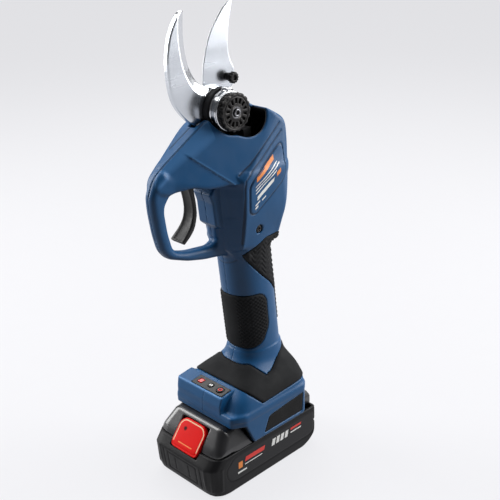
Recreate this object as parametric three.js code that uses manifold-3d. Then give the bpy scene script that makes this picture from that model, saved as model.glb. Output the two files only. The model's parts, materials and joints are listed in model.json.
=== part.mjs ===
// A battery electric pruner. Millimetres, +Z up. The origin is the middle of the battery's underside.
// +X is the right-hand shell, -Y is the trigger side and +Y is the back.
import * as THREE from "three";
import { mergeVertices } from "three/addons/utils/BufferGeometryUtils.js";
import Module from "manifold-3d";

const wasm = await Module();
wasm.setup();

// Driving dimensions
const GAP = 0.3; // between pieces that touch
const WALL = 2.6; // of the moulded housing
const PIVOT_Y = -2; // the blades' pivot, whose axis runs along X
const PIVOT_Z = 300;
const LEAN = Math.atan(0.103); // the drive line leans forward by this angle
const CONE = 31; // outer cone distance of the bevel gears
const BEVEL_FACE = 8;
const PINION_TEETH = 10;
const SECTOR_TEETH = 40; // on a full turn of the sector
const SUN_TEETH = 9;
const PLANET_TEETH = 12;
const RING_TEETH = SUN_TEETH + 2 * PLANET_TEETH;
const GEAR_MODULE = 0.8;
const PLANETS = 3;
const BLADE_THICK = 5; // hook blade
const MOVING_THICK = 4;
const HOOK_X = -5; // the hook blade's right face
const HALF_HEAD = 26;
const GUARD_HALF = 5.5;
const PACK_HALF = 37.3; // battery half width
const PACK_FRONT = -65;
const PACK_BACK = 59.5;
const PACK_SPLIT = 35; // between the battery's lower and upper cases
const PACK_TOP = 54.2;
const FOOT_HALF = 39;
const FOOT_FRONT = -38.3;
const FOOT_BACK = 42;
const FOOT_FLOOR = 54.6;
const TRIGGER_PIN = [-42, 258];
const CELL_R = 9.1;
const CELL_LENGTH = 64;
const CELL_PITCH = 19.4;

// Colours
const BLUE = { color: 0x2b588a, roughness: 0.45, metalness: 0 };
const RUBBER = { color: 0x242424, roughness: 0.8, metalness: 0 };
const BLACK = { color: 0x1c1c1e, roughness: 0.5, metalness: 0 };
const STEEL = { color: 0xc9ccd0, roughness: 0.25, metalness: 1 };
const OXIDE = { color: 0x3a3838, roughness: 0.45, metalness: 0.8 };
const ALUMINIUM = { color: 0x9a9da0, roughness: 0.4, metalness: 1 };
const RED = { color: 0xde2a26, roughness: 0.35, metalness: 0 };
const BOARD = { color: 0x1f5a35, roughness: 0.5, metalness: 0 };
const COPPER = { color: 0xb87333, roughness: 0.35, metalness: 1 };
const CELL = { color: 0x3f8f6a, roughness: 0.5, metalness: 0 };
const LENS = { color: 0xb01818, roughness: 0.2, metalness: 0 };

const root = new THREE.Group();
const drive = new THREE.Group(); // its +Z runs up the drive line to the pivot, its origin
drive.position.set(0, PIVOT_Y, PIVOT_Z);
drive.rotation.x = LEAN;
root.add(drive);

// Solids: closed geometry goes to the boolean library and comes back as a mesh

function solid(geometry, matrix = new THREE.Matrix4()) {
  const bare = new THREE.BufferGeometry();
  bare.setAttribute("position", geometry.getAttribute("position").clone());
  if (geometry.index) bare.setIndex(geometry.index.clone());
  bare.applyMatrix4(matrix);
  const merged = mergeVertices(bare, 1e-4);
  return new wasm.Manifold(
    new wasm.Mesh({
      numProp: 3,
      vertProperties: merged.attributes.position.array,
      triVerts: new Uint32Array(merged.index.array),
    }),
  );
}

function join(first, ...others) {
  return others.reduce((whole, piece) => whole.add(piece), first);
}

function cut(first, ...others) {
  return others.reduce((whole, piece) => whole.subtract(piece), first);
}

function add(name, piece, look, parent = root) {
  const { numProp, numVert, vertProperties, triVerts } = piece.getMesh();
  const places = new Float32Array(numVert * 3);
  for (let i = 0; i < numVert; i++) {
    places.set(vertProperties.subarray(i * numProp, i * numProp + 3), i * 3);
  }
  const geometry = new THREE.BufferGeometry();
  geometry.setAttribute("position", new THREE.BufferAttribute(places, 3));
  geometry.setIndex(new THREE.BufferAttribute(triVerts, 1));
  geometry.computeVertexNormals();
  const mesh = new THREE.Mesh(geometry, new THREE.MeshStandardMaterial(look));
  mesh.name = name;
  parent.add(mesh);
  return mesh;
}

const basis = (x, y, z) =>
  new THREE.Matrix4().makeBasis(
    new THREE.Vector3(...x),
    new THREE.Vector3(...y),
    new THREE.Vector3(...z),
  );
const ALONG_X = basis([0, 1, 0], [0, 0, 1], [1, 0, 0]); // a (y, z) outline extruded along +X
const ALONG_Y = basis([1, 0, 0], [0, 0, 1], [0, -1, 0]); // an (x, z) outline extruded along -Y
const ALONG_Z = new THREE.Matrix4(); // an (x, y) outline extruded along +Z
const moved = (x, y, z) => new THREE.Matrix4().makeTranslation(x, y, z);

const outline = (points) =>
  new THREE.Shape(points.map(([u, v]) => new THREE.Vector2(u, v)));

function extruded(points, frame, start, end, rounding = 0, steps = 2) {
  const geometry = new THREE.ExtrudeGeometry(outline(points), {
    depth: end - start - 2 * rounding,
    bevelEnabled: rounding > 0,
    bevelThickness: rounding,
    bevelSize: rounding,
    bevelOffset: -rounding,
    bevelSegments: steps,
    curveSegments: 8,
  });
  return solid(
    geometry,
    frame.clone().multiply(moved(0, 0, start + rounding)),
  );
}

const prismX = (points, x0, x1, rounding, steps) =>
  extruded(points, ALONG_X, x0, x1, rounding, steps);
const prismY = (points, y0, y1) => extruded(points, ALONG_Y, -y1, -y0);
const prismZ = (points, z0, z1, rounding, steps) =>
  extruded(points, ALONG_Z, z0, z1, rounding, steps);

function box(x0, x1, y0, y1, z0, z1) {
  const geometry = new THREE.BoxGeometry(x1 - x0, y1 - y0, z1 - z0);
  return solid(geometry, moved((x0 + x1) / 2, (y0 + y1) / 2, (z0 + z1) / 2));
}

// A round bar on the Z axis between two heights, about (x, y)
function barZ(radius, z0, z1, sides = 32, x = 0, y = 0) {
  const geometry = new THREE.CylinderGeometry(
    radius,
    radius,
    z1 - z0,
    sides,
  ).rotateX(Math.PI / 2);
  return solid(geometry, moved(x, y, (z0 + z1) / 2));
}

function barX(radius, x0, x1, y, z, sides = 32) {
  const geometry = new THREE.CylinderGeometry(
    radius,
    radius,
    x1 - x0,
    sides,
  ).rotateZ(Math.PI / 2);
  return solid(geometry, moved((x0 + x1) / 2, y, z));
}

function barY(radius, y0, y1, x, z, sides = 24) {
  const geometry = new THREE.CylinderGeometry(radius, radius, y1 - y0, sides);
  return solid(geometry, moved(x, (y0 + y1) / 2, z));
}

// A closed skin over level rings with the same number of points, running upwards
function loft(rings) {
  const sides = rings[0].length;
  const places = rings.flat().flatMap((p) => [p.x, p.y, p.z]);
  const faces = [];
  const at = (ring, i) => ring * sides + (i % sides);
  for (let ring = 0; ring < rings.length - 1; ring++) {
    for (let i = 0; i < sides; i++) {
      faces.push(at(ring, i), at(ring, i + 1), at(ring + 1, i + 1));
      faces.push(at(ring, i), at(ring + 1, i + 1), at(ring + 1, i));
    }
  }
  for (let i = 1; i < sides - 1; i++) {
    faces.push(at(0, 0), at(0, i + 1), at(0, i));
    faces.push(
      at(rings.length - 1, 0),
      at(rings.length - 1, i),
      at(rings.length - 1, i + 1),
    );
  }
  const geometry = new THREE.BufferGeometry();
  geometry.setAttribute(
    "position",
    new THREE.BufferAttribute(new Float32Array(places), 3),
  );
  geometry.setIndex(faces);
  return solid(geometry);
}

// A level ring: an ellipse at power 2, a rounded rectangle at higher powers
function ring(z, halfX, y0, y1, power, sides = 24) {
  const round = (t) => Math.sign(t) * Math.abs(t) ** (2 / power);
  return Array.from({ length: sides }, (_, i) => {
    const angle = ((i + 0.5) * 2 * Math.PI) / sides;
    return new THREE.Vector3(
      halfX * round(Math.cos(angle)),
      (y0 + y1) / 2 + ((y1 - y0) / 2) * round(Math.sin(angle)),
      z,
    );
  });
}

// Moves each corner of a closed outline inwards by the same distance on both its sides
function inset(points, distance) {
  const area = points.reduce((sum, [u, v], i) => {
    const [nextU, nextV] = points[(i + 1) % points.length];
    return sum + u * nextV - nextU * v;
  }, 0);
  const side = Math.sign(area);
  return points.map((point, i) => {
    const before = points.at(i - 1);
    const after = points[(i + 1) % points.length];
    const a = new THREE.Vector2(point[0] - before[0], point[1] - before[1]);
    const b = new THREE.Vector2(after[0] - point[0], after[1] - point[1]);
    a.normalize();
    b.normalize();
    const normal = new THREE.Vector2(-a.y - b.y, a.x + b.x).normalize();
    const reach = (distance * side) / Math.max(0.4, normal.dot({ x: -a.y, y: a.x }));
    return [point[0] + normal.x * reach, point[1] + normal.y * reach];
  });
}

// Points along an arc about (y, z), both ends included, angles in degrees
function arc(y, z, radius, from, to, steps) {
  return Array.from({ length: steps + 1 }, (_, i) => {
    const angle = THREE.MathUtils.degToRad(from + ((to - from) * i) / steps);
    return [y + radius * Math.cos(angle), z + radius * Math.sin(angle)];
  });
}

// A smooth open curve through the points, as an outline
function smooth(points, steps) {
  const curve = new THREE.SplineCurve(
    points.map(([u, v]) => new THREE.Vector2(u, v)),
  );
  return curve.getPoints(steps).map((p) => [p.x, p.y]);
}

const about = ([dy, dz]) => [PIVOT_Y + dy, PIVOT_Z + dz]; // an offset from the pivot

// Housing

const handleMiddle = (z) => 15.5 - Math.tan(LEAN) * (z - 157);

function handleSolid(shrink, z0 = 92, z1 = 212) {
  const rings = [];
  for (let z = z0; z <= z1 + 0.01; z += 24) {
    const middle = handleMiddle(z);
    rings.push(
      ring(z, 19 - shrink, middle - 22 + shrink, middle + 22 - shrink, 2.2),
    );
  }
  return loft(rings);
}

const HEAD_SIDE = [
  [-27, 293],
  [-46, 282],
  [-63, 272],
  [-73, 263],
  [-74, 255],
  [-66, 250],
  [-45, 252],
  [-34, 246.5],
  [-27.7, 241],
  [-23, 224],
  [-17, 206],
  [-13, 194],
  [33, 194],
  [36, 210],
  [41, 225],
  [45, 241],
  [47, 256],
  [47.3, 270],
  [46, 282],
  [42, 289.5],
  [34, 294.5],
  [13, 307],
];
const HEAD_PLAN = [
  [13, 48],
  [21, 43],
  [25, 35],
  [HALF_HEAD, 24],
  [HALF_HEAD, -7],
  [23, -18],
  [15, -40],
  [8.5, -60],
  [6.5, -80],
];
const HEAD_FRONT = [
  [19, 190],
  [22.5, 208],
  [25, 225],
  [HALF_HEAD, 240],
  [HALF_HEAD, 254],
  [23, 262],
  [18.5, 290],
  [17.5, 308],
];
const mirrored = (half) => [...half, ...half.map(([u, v]) => [-u, v]).reverse()];

// Across the crest, from its height: flat to the left, falling away steeply to the right
const ROOF = [
  [3.5, 0],
  [33.5, -52],
  [33.5, -150],
  [-43.5, -150],
  [-43.5, -4],
  [-3.5, 0],
];
const CREST = [-46, 282]; // a point on the crest, which rises towards the pivot
const CREST_SLOPE = Math.PI / 6;

function roofSolid(shrink) {
  const across = basis(
    [1, 0, 0],
    [0, -Math.sin(CREST_SLOPE), Math.cos(CREST_SLOPE)],
    [0, -Math.cos(CREST_SLOPE), -Math.sin(CREST_SLOPE)],
  );
  const frame = moved(0, ...CREST).multiply(across);
  return extruded(inset(ROOF, shrink), frame, -150, 60);
}

function headSolid(shrink) {
  const rounding = shrink ? 3 : 6;
  const side = prismX(
    inset(HEAD_SIDE, shrink),
    shrink - HALF_HEAD - 1,
    HALF_HEAD + 1 - shrink,
    rounding,
    2,
  );
  const plan = prismZ(inset(mirrored(HEAD_PLAN), shrink), 185, 315);
  const front = prismY(inset(mirrored(HEAD_FRONT), shrink), -90, 60);
  return side.intersect(plan).intersect(front).intersect(roofSolid(shrink));
}

const GUARD_OUTER = [
  [-66, 269],
  [-74, 262],
  [-78.5, 252],
  [-78, 240],
  [-75.5, 223],
  [-72, 209],
  [-66, 201.5],
  [-48, 194.5],
  [-32, 190.5],
  [-18, 188.5],
  [-4, 186],
  [-4, 206],
  [-17, 204],
  [-24, 199.3],
  [-47, 202],
  [-57, 205],
  [-61.5, 209],
  [-65, 222],
  [-67, 238],
  [-66.5, 247],
  [-62, 256],
];

function footPlan(shrink) {
  const half = FOOT_HALF - shrink;
  const front = FOOT_FRONT + shrink;
  const back = FOOT_BACK - shrink;
  return mirrored([
    [32.4 - shrink, front],
    [half, -27 + shrink],
    [half, back - 7],
    [half - 7, back],
  ]);
}

function footTop(shrink) {
  const level = (z, half, front, back, power) =>
    ring(z, half - shrink, front + shrink, back - shrink, power);
  return loft([
    level(62, FOOT_HALF - 1, FOOT_FRONT + 1, FOOT_BACK, 8),
    level(67, 37.5, -37, FOOT_BACK, 6),
    level(74, 33, -33, 42.5, 4.5),
    level(80, 28, -25, 43, 3.6),
    level(86, 23.5, -14, 43.5, 3),
    level(92, 20.5, -5, 44, 2.5),
    level(98, 19.2, -0.8, 43.7, 2.2),
  ]);
}

const CONSOLE_SIDE = [
  [-38, 62],
  [-38, 69],
  [-35, 76.6],
  [-21.5, 78.6],
  [-8, 86],
  [-8, 62],
];

function footSolid(shrink) {
  const base = prismZ(footPlan(shrink), PACK_SPLIT + 0.6, 64, 1.5);
  const console = prismX(inset(CONSOLE_SIDE, shrink), shrink - 23, 23 - shrink);
  return join(base, footTop(shrink), console);
}

// What the battery slides into, and the slanted front edges of the foot's two cheeks
function footMouth() {
  const cheekFront = [
    [-60, 30],
    [-17.5, 30],
    [-18.5, 37],
    [-27, FOOT_FLOOR],
    [-60, FOOT_FLOOR],
  ];
  const slideway = box(-33.4, 33.4, -60, 38.4, 30, FOOT_FLOOR);
  const under = box(-33.4, 33.4, 30, 60, 30, 50.6);
  return join(slideway, under, prismX(cheekFront, -50, 50));
}

const HOUSING_SCREWS = [
  [34, 246],
  [16.5, 124],
  [31, 64.5],
  [-32.5, 268],
];

function screwBosses() {
  const through = HOUSING_SCREWS.map(([y, z]) => barX(4.6, -60, 60, y, z, 16));
  const ears = [-60, 16.3].map((x) => barX(5, x, x + 43.7, ...CASE_SCREW, 16));
  return join(...through, ...ears);
}

const screwHeadX = (i) => [-24.6, -17.2, -37.6, -16.6][i];

function screwHoles() {
  const holes = HOUSING_SCREWS.map(([y, z], i) => {
    const head = screwHeadX(i);
    return join(
      barX(1.8, head - 1, -head - 4, y, z, 12),
      barX(3.4, -60, head + 2.4, y, z, 16),
    );
  });
  return join(...holes);
}

const CASE_SCREW = [8.7, 208.7];

function caseScrewHoles() {
  const [y, z] = CASE_SCREW;
  return join(
    barX(1.8, -40, 40, y, z, 12),
    barX(3.5, 20.3, 40, y, z, 16),
    barX(3.5, -40, -20.3, y, z, 16),
  );
}

const GRIP_FRONT_BACK = 24; // the palm pad stops this far behind the handle's front

function palmZone(gap) {
  const zone = [
    [-30, 107 - gap],
    [handleMiddle(104) - 16, 102.5 - gap],
    [handleMiddle(112) - 6 + gap, 107 - gap],
    [handleMiddle(125) - 22 + GRIP_FRONT_BACK + gap, 122 - gap],
    [handleMiddle(150) - 22 + GRIP_FRONT_BACK + gap, 146 + gap],
    [handleMiddle(150) + gap, 152 + gap],
    [-30, 152 + gap],
  ];
  return prismX(zone, -40, 40);
}

const REAR_PAD = [
  [60, 200],
  [17, 199],
  [-4.5, 189],
  [5, 177],
  [15, 166],
  [24, 158],
  [31, 146],
  [33, 118],
  [60, 112],
];

const rearZone = (gap) => prismX(inset(REAR_PAD, -gap), -40, 40);

function ventZone(gap, x0, x1) {
  const trapezoid = [
    [-7 - gap, 39.5 - gap],
    [-1 - gap, 52.5 + gap],
    [39.5 + gap, 56.5 + gap],
    [38 + gap, 39.5 - gap],
  ];
  return prismX(trapezoid, x0, x1);
}

const PANEL_HALF = 18;
const POWER_BUTTON = [11, -28.5];
const MODE_BUTTON = [0, -28.5];
const panelZone = (gap, z0, z1) =>
  box(-PANEL_HALF - gap, PANEL_HALF + gap, -34 - gap, -23 + gap, z0, z1);

const bumperZone = (gap) =>
  prismX(
    [
      [-6.5 - gap, 68 - gap],
      [-6.5 - gap, 80],
      [8 - gap, 96 + gap],
      [19, 104 + gap],
      [60, 106 + gap],
      [60, 69.5 - gap],
    ],
    -50,
    50,
  );

function recesses() {
  const handleBelt = handleSolid(-3).subtract(handleSolid(1.5));
  const footBelt = footTop(-3)
    .add(handleSolid(-3, 92, 116))
    .subtract(footTop(1.7).add(handleSolid(1.6, 92, 116)));
  const rearBelt = join(handleSolid(-3), headSolid(-3)).subtract(
    join(handleSolid(1.5), headSolid(1.5)),
  );
  return [
    handleBelt.intersect(palmZone(GAP)),
    rearBelt.intersect(rearZone(GAP)),
    footBelt.intersect(bumperZone(GAP)),
    ventZone(GAP, 36.8, 45),
    ventZone(GAP, -45, -36.8),
    panelZone(GAP, 73.6, 82),
  ];
}

function housingWhole() {
  const guard = prismX(GUARD_OUTER, -GUARD_HALF, GUARD_HALF, 1.8, 1);
  const outside = join(headSolid(0), handleSolid(0), footSolid(0), guard);
  const inside = join(
    headSolid(WALL),
    handleSolid(WALL),
    footTop(WALL),
    box(-30, 30, -30, 38, FOOT_FLOOR + 2.4, 66),
  );
  const notch = barX(17.5, -40, 40, PIVOT_Y, 300.5, 32);
  // the right-hand shell's notch is a U a little behind the pivot, open at the top
  const rightNotch = barX(18, 0.5, 40, 9, 298, 32).add(box(0.5, 40, -9, 27, 298, 315));
  const hookSlot = box(-11.6, -3.6, -31, -14, 282, 304);
  const triggerSlot = box(-6.7, 6.7, -52, -30.6, 241, 258);
  const terminalSlot = box(-22, 22, -14, 30, FOOT_FLOOR - 1, FOOT_FLOOR + 4);
  const bosses = screwBosses().intersect(outside);
  const shell = cut(outside, inside, footMouth()).add(bosses);
  return cut(
    shell,
    notch,
    rightNotch,
    hookSlot,
    triggerSlot,
    terminalSlot,
    screwHoles(),
    caseScrewHoles(),
    barX(1.75, -8, 8, ...TRIGGER_PIN, 16),
    box(-4.9, 4.9, -50, -44, 259.5, 268),
    barY(3.3, -66, -49, 0, 263.8),
    barZ(3.6, 71, 75, 16, ...POWER_BUTTON),
    barZ(2.8, 71, 75, 16, ...MODE_BUTTON),
    ...recesses(),
  );
}

function addHousing() {
  const whole = housingWhole();
  const right = whole.intersect(box(0.15, 100, -200, 200, 0, 400));
  const left = whole.intersect(box(-100, -0.15, -200, 200, 0, 400));
  add("housing_right", biggest(right), BLUE);
  add("housing_left", biggest(left), BLUE);
}

// The largest connected piece, without slivers that a cut leaves behind
function biggest(piece) {
  const bodies = piece.decompose();
  return bodies.reduce((a, b) => (a.volume() > b.volume() ? a : b));
}

function addPads() {
  const palm = handleSolid(-0.9).subtract(handleSolid(1.2));
  add("palm_grip", biggest(palm.intersect(palmZone(0))), RUBBER);
  const rear = join(handleSolid(-0.7), headSolid(-0.7)).subtract(
    join(handleSolid(1.2), headSolid(1.2)),
  );
  add("rear_grip", biggest(rear.intersect(rearZone(0))), RUBBER);
  const bumper = footTop(-0.9)
    .add(handleSolid(-0.9, 92, 116))
    .subtract(footTop(1.4).add(handleSolid(1.3, 92, 116)));
  add("foot_bumper", biggest(bumper.intersect(bumperZone(0))), RUBBER);
  add("vent_right", ventZone(0, 37.1, 39.3), BLACK);
  add("vent_left", ventZone(0, -39.3, -37.1), BLACK);
}

function pan(head, tip, y, z, headRadius = 3) {
  const sign = Math.sign(tip - head);
  const shoulder = head + sign * 2;
  return join(
    barX(headRadius, Math.min(head, shoulder), Math.max(head, shoulder), y, z, 12),
    barX(1.5, Math.min(shoulder, tip) - 0.01, Math.max(shoulder, tip), y, z, 8),
  );
}

function addScrews() {
  HOUSING_SCREWS.forEach(([y, z], i) => {
    const head = screwHeadX(i);
    add(`housing_screw_${i + 1}`, pan(head, -head - 5, y, z), OXIDE);
  });
  add("case_screw_right", pan(22.6, 12.6, ...CASE_SCREW, 3.1), OXIDE);
  add("case_screw_left", pan(-22.6, -12.6, ...CASE_SCREW, 3.1), OXIDE);
}

// Cutting head

function hookBladeOutline() {
  const outer = smooth(
    [
      [-27.5, 73.5],
      [-30.5, 74.3],
      [-36, 70],
      [-42.5, 59],
      [-46, 44],
      [-46.3, 30],
      [-43.5, 14],
      [-37, 3],
      [-29, -5],
      [-22.5, -9.5],
      [-19, -8],
    ],
    26,
  );
  const hub = arc(0, 0, 16.8, 205, 460, 20);
  const inner = smooth(
    [
      [-8.5, 17.3],
      [-15.5, 20.5],
      [-21, 26.5],
      [-26, 37],
      [-28.5, 52],
      [-28.3, 66],
      [-27.5, 73.5],
    ],
    16,
  );
  return [...outer, ...hub, ...inner.slice(0, -1)].map(about);
}

function movingBladeOutline() {
  const edge = smooth(
    [
      [19.5, 76.5],
      [17, 75.5],
      [10, 69.5],
      [1, 59],
      [-4.5, 49],
      [-8.5, 37],
      [-10.5, 26],
      [-11, 16],
    ],
    18,
  );
  const hub = arc(0, 0, 15, 130, 250, 10);
  const arm = [
    [-19, -21],
    [-15, -25],
    [5, -28],
    [7, -13.5],
  ];
  const heel = arc(0, 0, 15, -55, 40, 8);
  const spine = smooth(
    [
      [19, 13.5],
      [21.5, 20],
      [21, 27],
      [17.5, 34],
      [16, 44],
      [17.3, 58],
      [20.3, 70],
      [20.8, 75.3],
    ],
    14,
  );
  return [...edge, ...hub, ...arm, ...heel, ...spine].map(about);
}

// One bevel tooth, tapering to the cone's apex. side gives a unit direction from a cone angle and a turn.
function bevelTooth(side, turn, rootCone, tipCone, rootHalf, tipHalf, apex) {
  const corners = [];
  for (const reach of [CONE - BEVEL_FACE, CONE]) {
    corners.push(
      side(rootCone, turn - rootHalf).multiplyScalar(reach),
      side(rootCone, turn + rootHalf).multiplyScalar(reach),
      side(tipCone, turn + tipHalf).multiplyScalar(reach),
      side(tipCone, turn - tipHalf).multiplyScalar(reach),
    );
  }
  const [a, b, c, d, e, f, g, h] = corners;
  const quads = [
    [a, b, c, d],
    [h, g, f, e],
    [a, e, f, b],
    [b, f, g, c],
    [c, g, h, d],
    [d, h, e, a],
  ];
  const places = quads.flatMap(([p, q, r, s]) => [p, q, r, p, r, s]);
  const geometry = new THREE.BufferGeometry().setFromPoints(places);
  const made = solid(geometry, apex);
  if (made.volume() > 0) return made;
  const turned = quads.flatMap(([p, q, r, s]) => [p, r, q, p, s, r]);
  return solid(new THREE.BufferGeometry().setFromPoints(turned), apex);
}

const PINION_CONE = Math.atan(PINION_TEETH / SECTOR_TEETH);
const SECTOR_CONE = Math.PI / 2 - PINION_CONE;
const ADDENDUM = 0.034; // cone angles above and below the pitch cone
const DEDENDUM = 0.047;

// The sector's teeth face +X. Its turn is measured from the drive line, forwards.
function sectorDirection(cone, turn) {
  const around = LEAN - turn;
  return new THREE.Vector3(
    -Math.cos(cone),
    Math.sin(cone) * Math.sin(around),
    -Math.sin(cone) * Math.cos(around),
  );
}

function addMovingBlade() {
  const outer = HOOK_X - BLADE_THICK - GAP;
  const x0 = outer - MOVING_THICK;
  const plate = prismX(movingBladeOutline(), x0, outer);
  const bore = barX(7.2, x0 - 1, outer + 1, PIVOT_Y, PIVOT_Z);
  const holes = SECTOR_PINS.map((place) =>
    barX(2.2, x0 - 1, outer + 1, ...about(place), 16),
  );
  add("moving_blade", cut(plate, bore, ...holes), STEEL);
  const bush = cut(
    barX(7.1, x0 - 0.2, outer + 0.1, PIVOT_Y, PIVOT_Z),
    barX(5.1, x0 - 1, outer + 1, PIVOT_Y, PIVOT_Z),
  );
  add("pivot_bush", bush, { ...COPPER, color: 0xb08d57 });
  addSector(outer);
  addHeelKnob(outer);
}

const SECTOR_PINS = [
  [-10.5, -16.6],
  [0.5, -19.6],
];
const WEB_INNER = 17.4;

function addSector(face) {
  const pitch = (2 * Math.PI) / SECTOR_TEETH;
  const rootCone = SECTOR_CONE - DEDENDUM;
  const surface = (radius) => -radius / Math.tan(rootCone);
  const rim = CONE + 1.4;
  const toothEnd = (CONE - BEVEL_FACE) * Math.sin(rootCone);
  const profile = [
    [WEB_INNER, face + GAP],
    [rim, face + GAP],
    [rim, surface(rim) + 0.02],
    [toothEnd, surface(toothEnd)],
    [WEB_INNER, surface(toothEnd)],
    [WEB_INNER, face + GAP],
  ].map(([r, x]) => new THREE.Vector2(r, x));
  const turned = new THREE.LatheGeometry(profile, 72).rotateZ(-Math.PI / 2);
  const disc = solid(turned, moved(0, PIVOT_Y, PIVOT_Z));
  const edges = [-58, 15].map((a) => {
    const around = LEAN + THREE.MathUtils.degToRad(a);
    return about([50 * Math.sin(around), -50 * Math.cos(around)]);
  });
  const wedge = prismX([[PIVOT_Y, PIVOT_Z], ...edges], -20, 0);
  const teeth = Array.from({ length: 7 }, (_, i) =>
    bevelTooth(
      sectorDirection,
      (i - 0.5) * pitch,
      rootCone - 0.03,
      SECTOR_CONE + ADDENDUM,
      pitch * 0.28,
      pitch * 0.13,
      moved(0, PIVOT_Y, PIVOT_Z),
    ),
  );
  const holes = SECTOR_PINS.map((place) => barX(2.2, -30, 0, ...about(place), 16));
  add("sector_gear", cut(join(disc.intersect(wedge), ...teeth), ...holes), OXIDE);
  SECTOR_PINS.forEach((place, i) => {
    const head = surface(toothEnd);
    const pin = barX(2, face - MOVING_THICK, head - 0.1, ...about(place), 12);
    add(`sector_pin_${i + 1}`, pin, STEEL);
  });
}

function addHeelKnob(face) {
  const [y, z] = about([14, 21]);
  const knob = join(
    barX(3, face + GAP, face + 4, y, z, 20),
    barX(4.3, face + 3.9, face + 8, y, z, 24),
  );
  add("heel_screw", knob, OXIDE);
}

function addHookBlade() {
  const plate = prismX(hookBladeOutline(), HOOK_X - BLADE_THICK, HOOK_X);
  const bore = barX(5.2, -40, 40, PIVOT_Y, PIVOT_Z);
  add("hook_blade", plate.subtract(bore), STEEL);
}

// Flat-sided outline of a straight-toothed wheel. Halves are tooth half widths, as shares of the pitch.
function wheel(teeth, rootRadius, tipRadius, rootHalf, tipHalf, phase = 0) {
  const points = [];
  const pitch = (2 * Math.PI) / teeth;
  for (let i = 0; i < teeth; i++) {
    const middle = phase + i * pitch;
    const corner = (radius, share) => [
      radius * Math.cos(middle + share * pitch),
      radius * Math.sin(middle + share * pitch),
    ];
    points.push(
      corner(rootRadius, -rootHalf),
      corner(tipRadius, -tipHalf),
      corner(tipRadius, tipHalf),
      corner(rootRadius, rootHalf),
    );
  }
  return points;
}

function addPivotStack() {
  const bolt = join(
    barX(8, -18.5, -14.7, PIVOT_Y, PIVOT_Z, 6),
    barX(5, -14.8, 9.4, PIVOT_Y, PIVOT_Z, 20),
    barX(3, 9.3, 14.4, PIVOT_Y, PIVOT_Z, 16),
  );
  add("pivot_bolt", bolt, OXIDE);
  const bored = (piece, radius) =>
    piece.subtract(barX(radius, -40, 40, PIVOT_Y, PIVOT_Z, 20));
  const lug = box(-0.7, 6, PIVOT_Y - 2.5, PIVOT_Y + 2.5, PIVOT_Z + 12, PIVOT_Z + 17);
  const spacer = bored(
    barX(15, -0.7, 7.4, PIVOT_Y, PIVOT_Z, 32).add(lug),
    5.2,
  );
  add("spacer_ring", spacer, STEEL);
  add("lock_ring", bored(barX(14.4, 7.7, 9.4, PIVOT_Y, PIVOT_Z, 28), 5.2), OXIDE);
  const teeth = wheel(18, 13.4, 14.6, 0.34, 0.2);
  const disc = prismX(teeth.map(about), 9.7, 13);
  add("lock_disc", bored(disc, 3.2), OXIDE);
}

// Everything on the drive line is made in the drive group's frame, below its origin at the pivot

function addGearCase() {
  const down = (x0, x1, y0, y1, s0, s1) => box(x0, x1, y0, y1, -s1, -s0);
  const hub = barX(16.8, HOOK_X + GAP, -1, 0, 0, 28);
  const legs = [-1, 1].map((side) => {
    const [a, b] = side < 0 ? [-18, -10.2] : [10.2, 18];
    return join(down(HOOK_X + GAP, -1, a, b, 8, 36), down(-1.1, 7, a, b, 17.5, 36));
  });
  const block = barZ(14.6, -66.5, -33);
  const collar = barZ(18.4, -36, -33).intersect(down(-12, 12, -20, 20, 33, 36));
  const bores = [
    barX(5.2, -40, 40, 0, 0),
    barZ(5, -70, -30),
    barZ(9.7, -41, -32),
    barZ(9.7, -67, -58.5),
  ];
  add("gear_case", cut(join(hub, ...legs, block, collar), ...bores), ALUMINIUM, drive);
}

function pinionDirection(cone, turn) {
  return new THREE.Vector3(
    -Math.sin(cone) * Math.cos(turn),
    -Math.sin(cone) * Math.sin(turn),
    -Math.cos(cone),
  );
}

const CARRIER_TOP = -71;
const GEARS_TOP = -73.5;
const GEARS_BOTTOM = -82.5;
const PLANET_ORBIT = (GEAR_MODULE * (SUN_TEETH + PLANET_TEETH)) / 2;
const planetAngle = (i) => (i * 2 * Math.PI) / PLANETS;

function addPinion() {
  const pitch = (2 * Math.PI) / PINION_TEETH;
  const coneRoot = PINION_CONE - DEDENDUM;
  const top = -(CONE - BEVEL_FACE) * Math.cos(PINION_CONE);
  const bottom = -CONE * Math.cos(PINION_CONE);
  const coneRing = (z) => {
    const radius = -z * Math.tan(coneRoot);
    return ring(z, radius, -radius, radius, 2);
  };
  const core = loft([coneRing(bottom), coneRing(top)]);
  const teeth = Array.from({ length: PINION_TEETH }, (_, i) =>
    bevelTooth(
      pinionDirection,
      i * pitch,
      coneRoot - 0.03,
      PINION_CONE + ADDENDUM,
      pitch * 0.24,
      pitch * 0.1,
      moved(0, 0, 0),
    ),
  );
  const shaft = join(
    barZ(5.6, bottom - 3, bottom + 0.1, 24),
    barZ(3.9, CARRIER_TOP, bottom - 2.9, 16),
    barZ(12.4, CARRIER_TOP - 2.2, CARRIER_TOP + 0.1, 24),
  );
  const pins = Array.from({ length: PLANETS }, (_, i) =>
    barZ(
      1.6,
      GEARS_BOTTOM,
      CARRIER_TOP - 2.1,
      12,
      PLANET_ORBIT * Math.cos(planetAngle(i)),
      PLANET_ORBIT * Math.sin(planetAngle(i)),
    ),
  );
  add("bevel_pinion", join(core, ...teeth, shaft, ...pins), OXIDE, drive);
}

function addBearings() {
  [
    ["pinion_bearing_upper", -40.8, -34],
    ["pinion_bearing_lower", -66.2, -59],
  ].forEach(([name, z0, z1]) => {
    const race = cut(barZ(9.5, z0, z1, 24), barZ(4.05, z0 - 1, z1 + 1, 16));
    add(name, race, STEEL, drive);
  });
}

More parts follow.
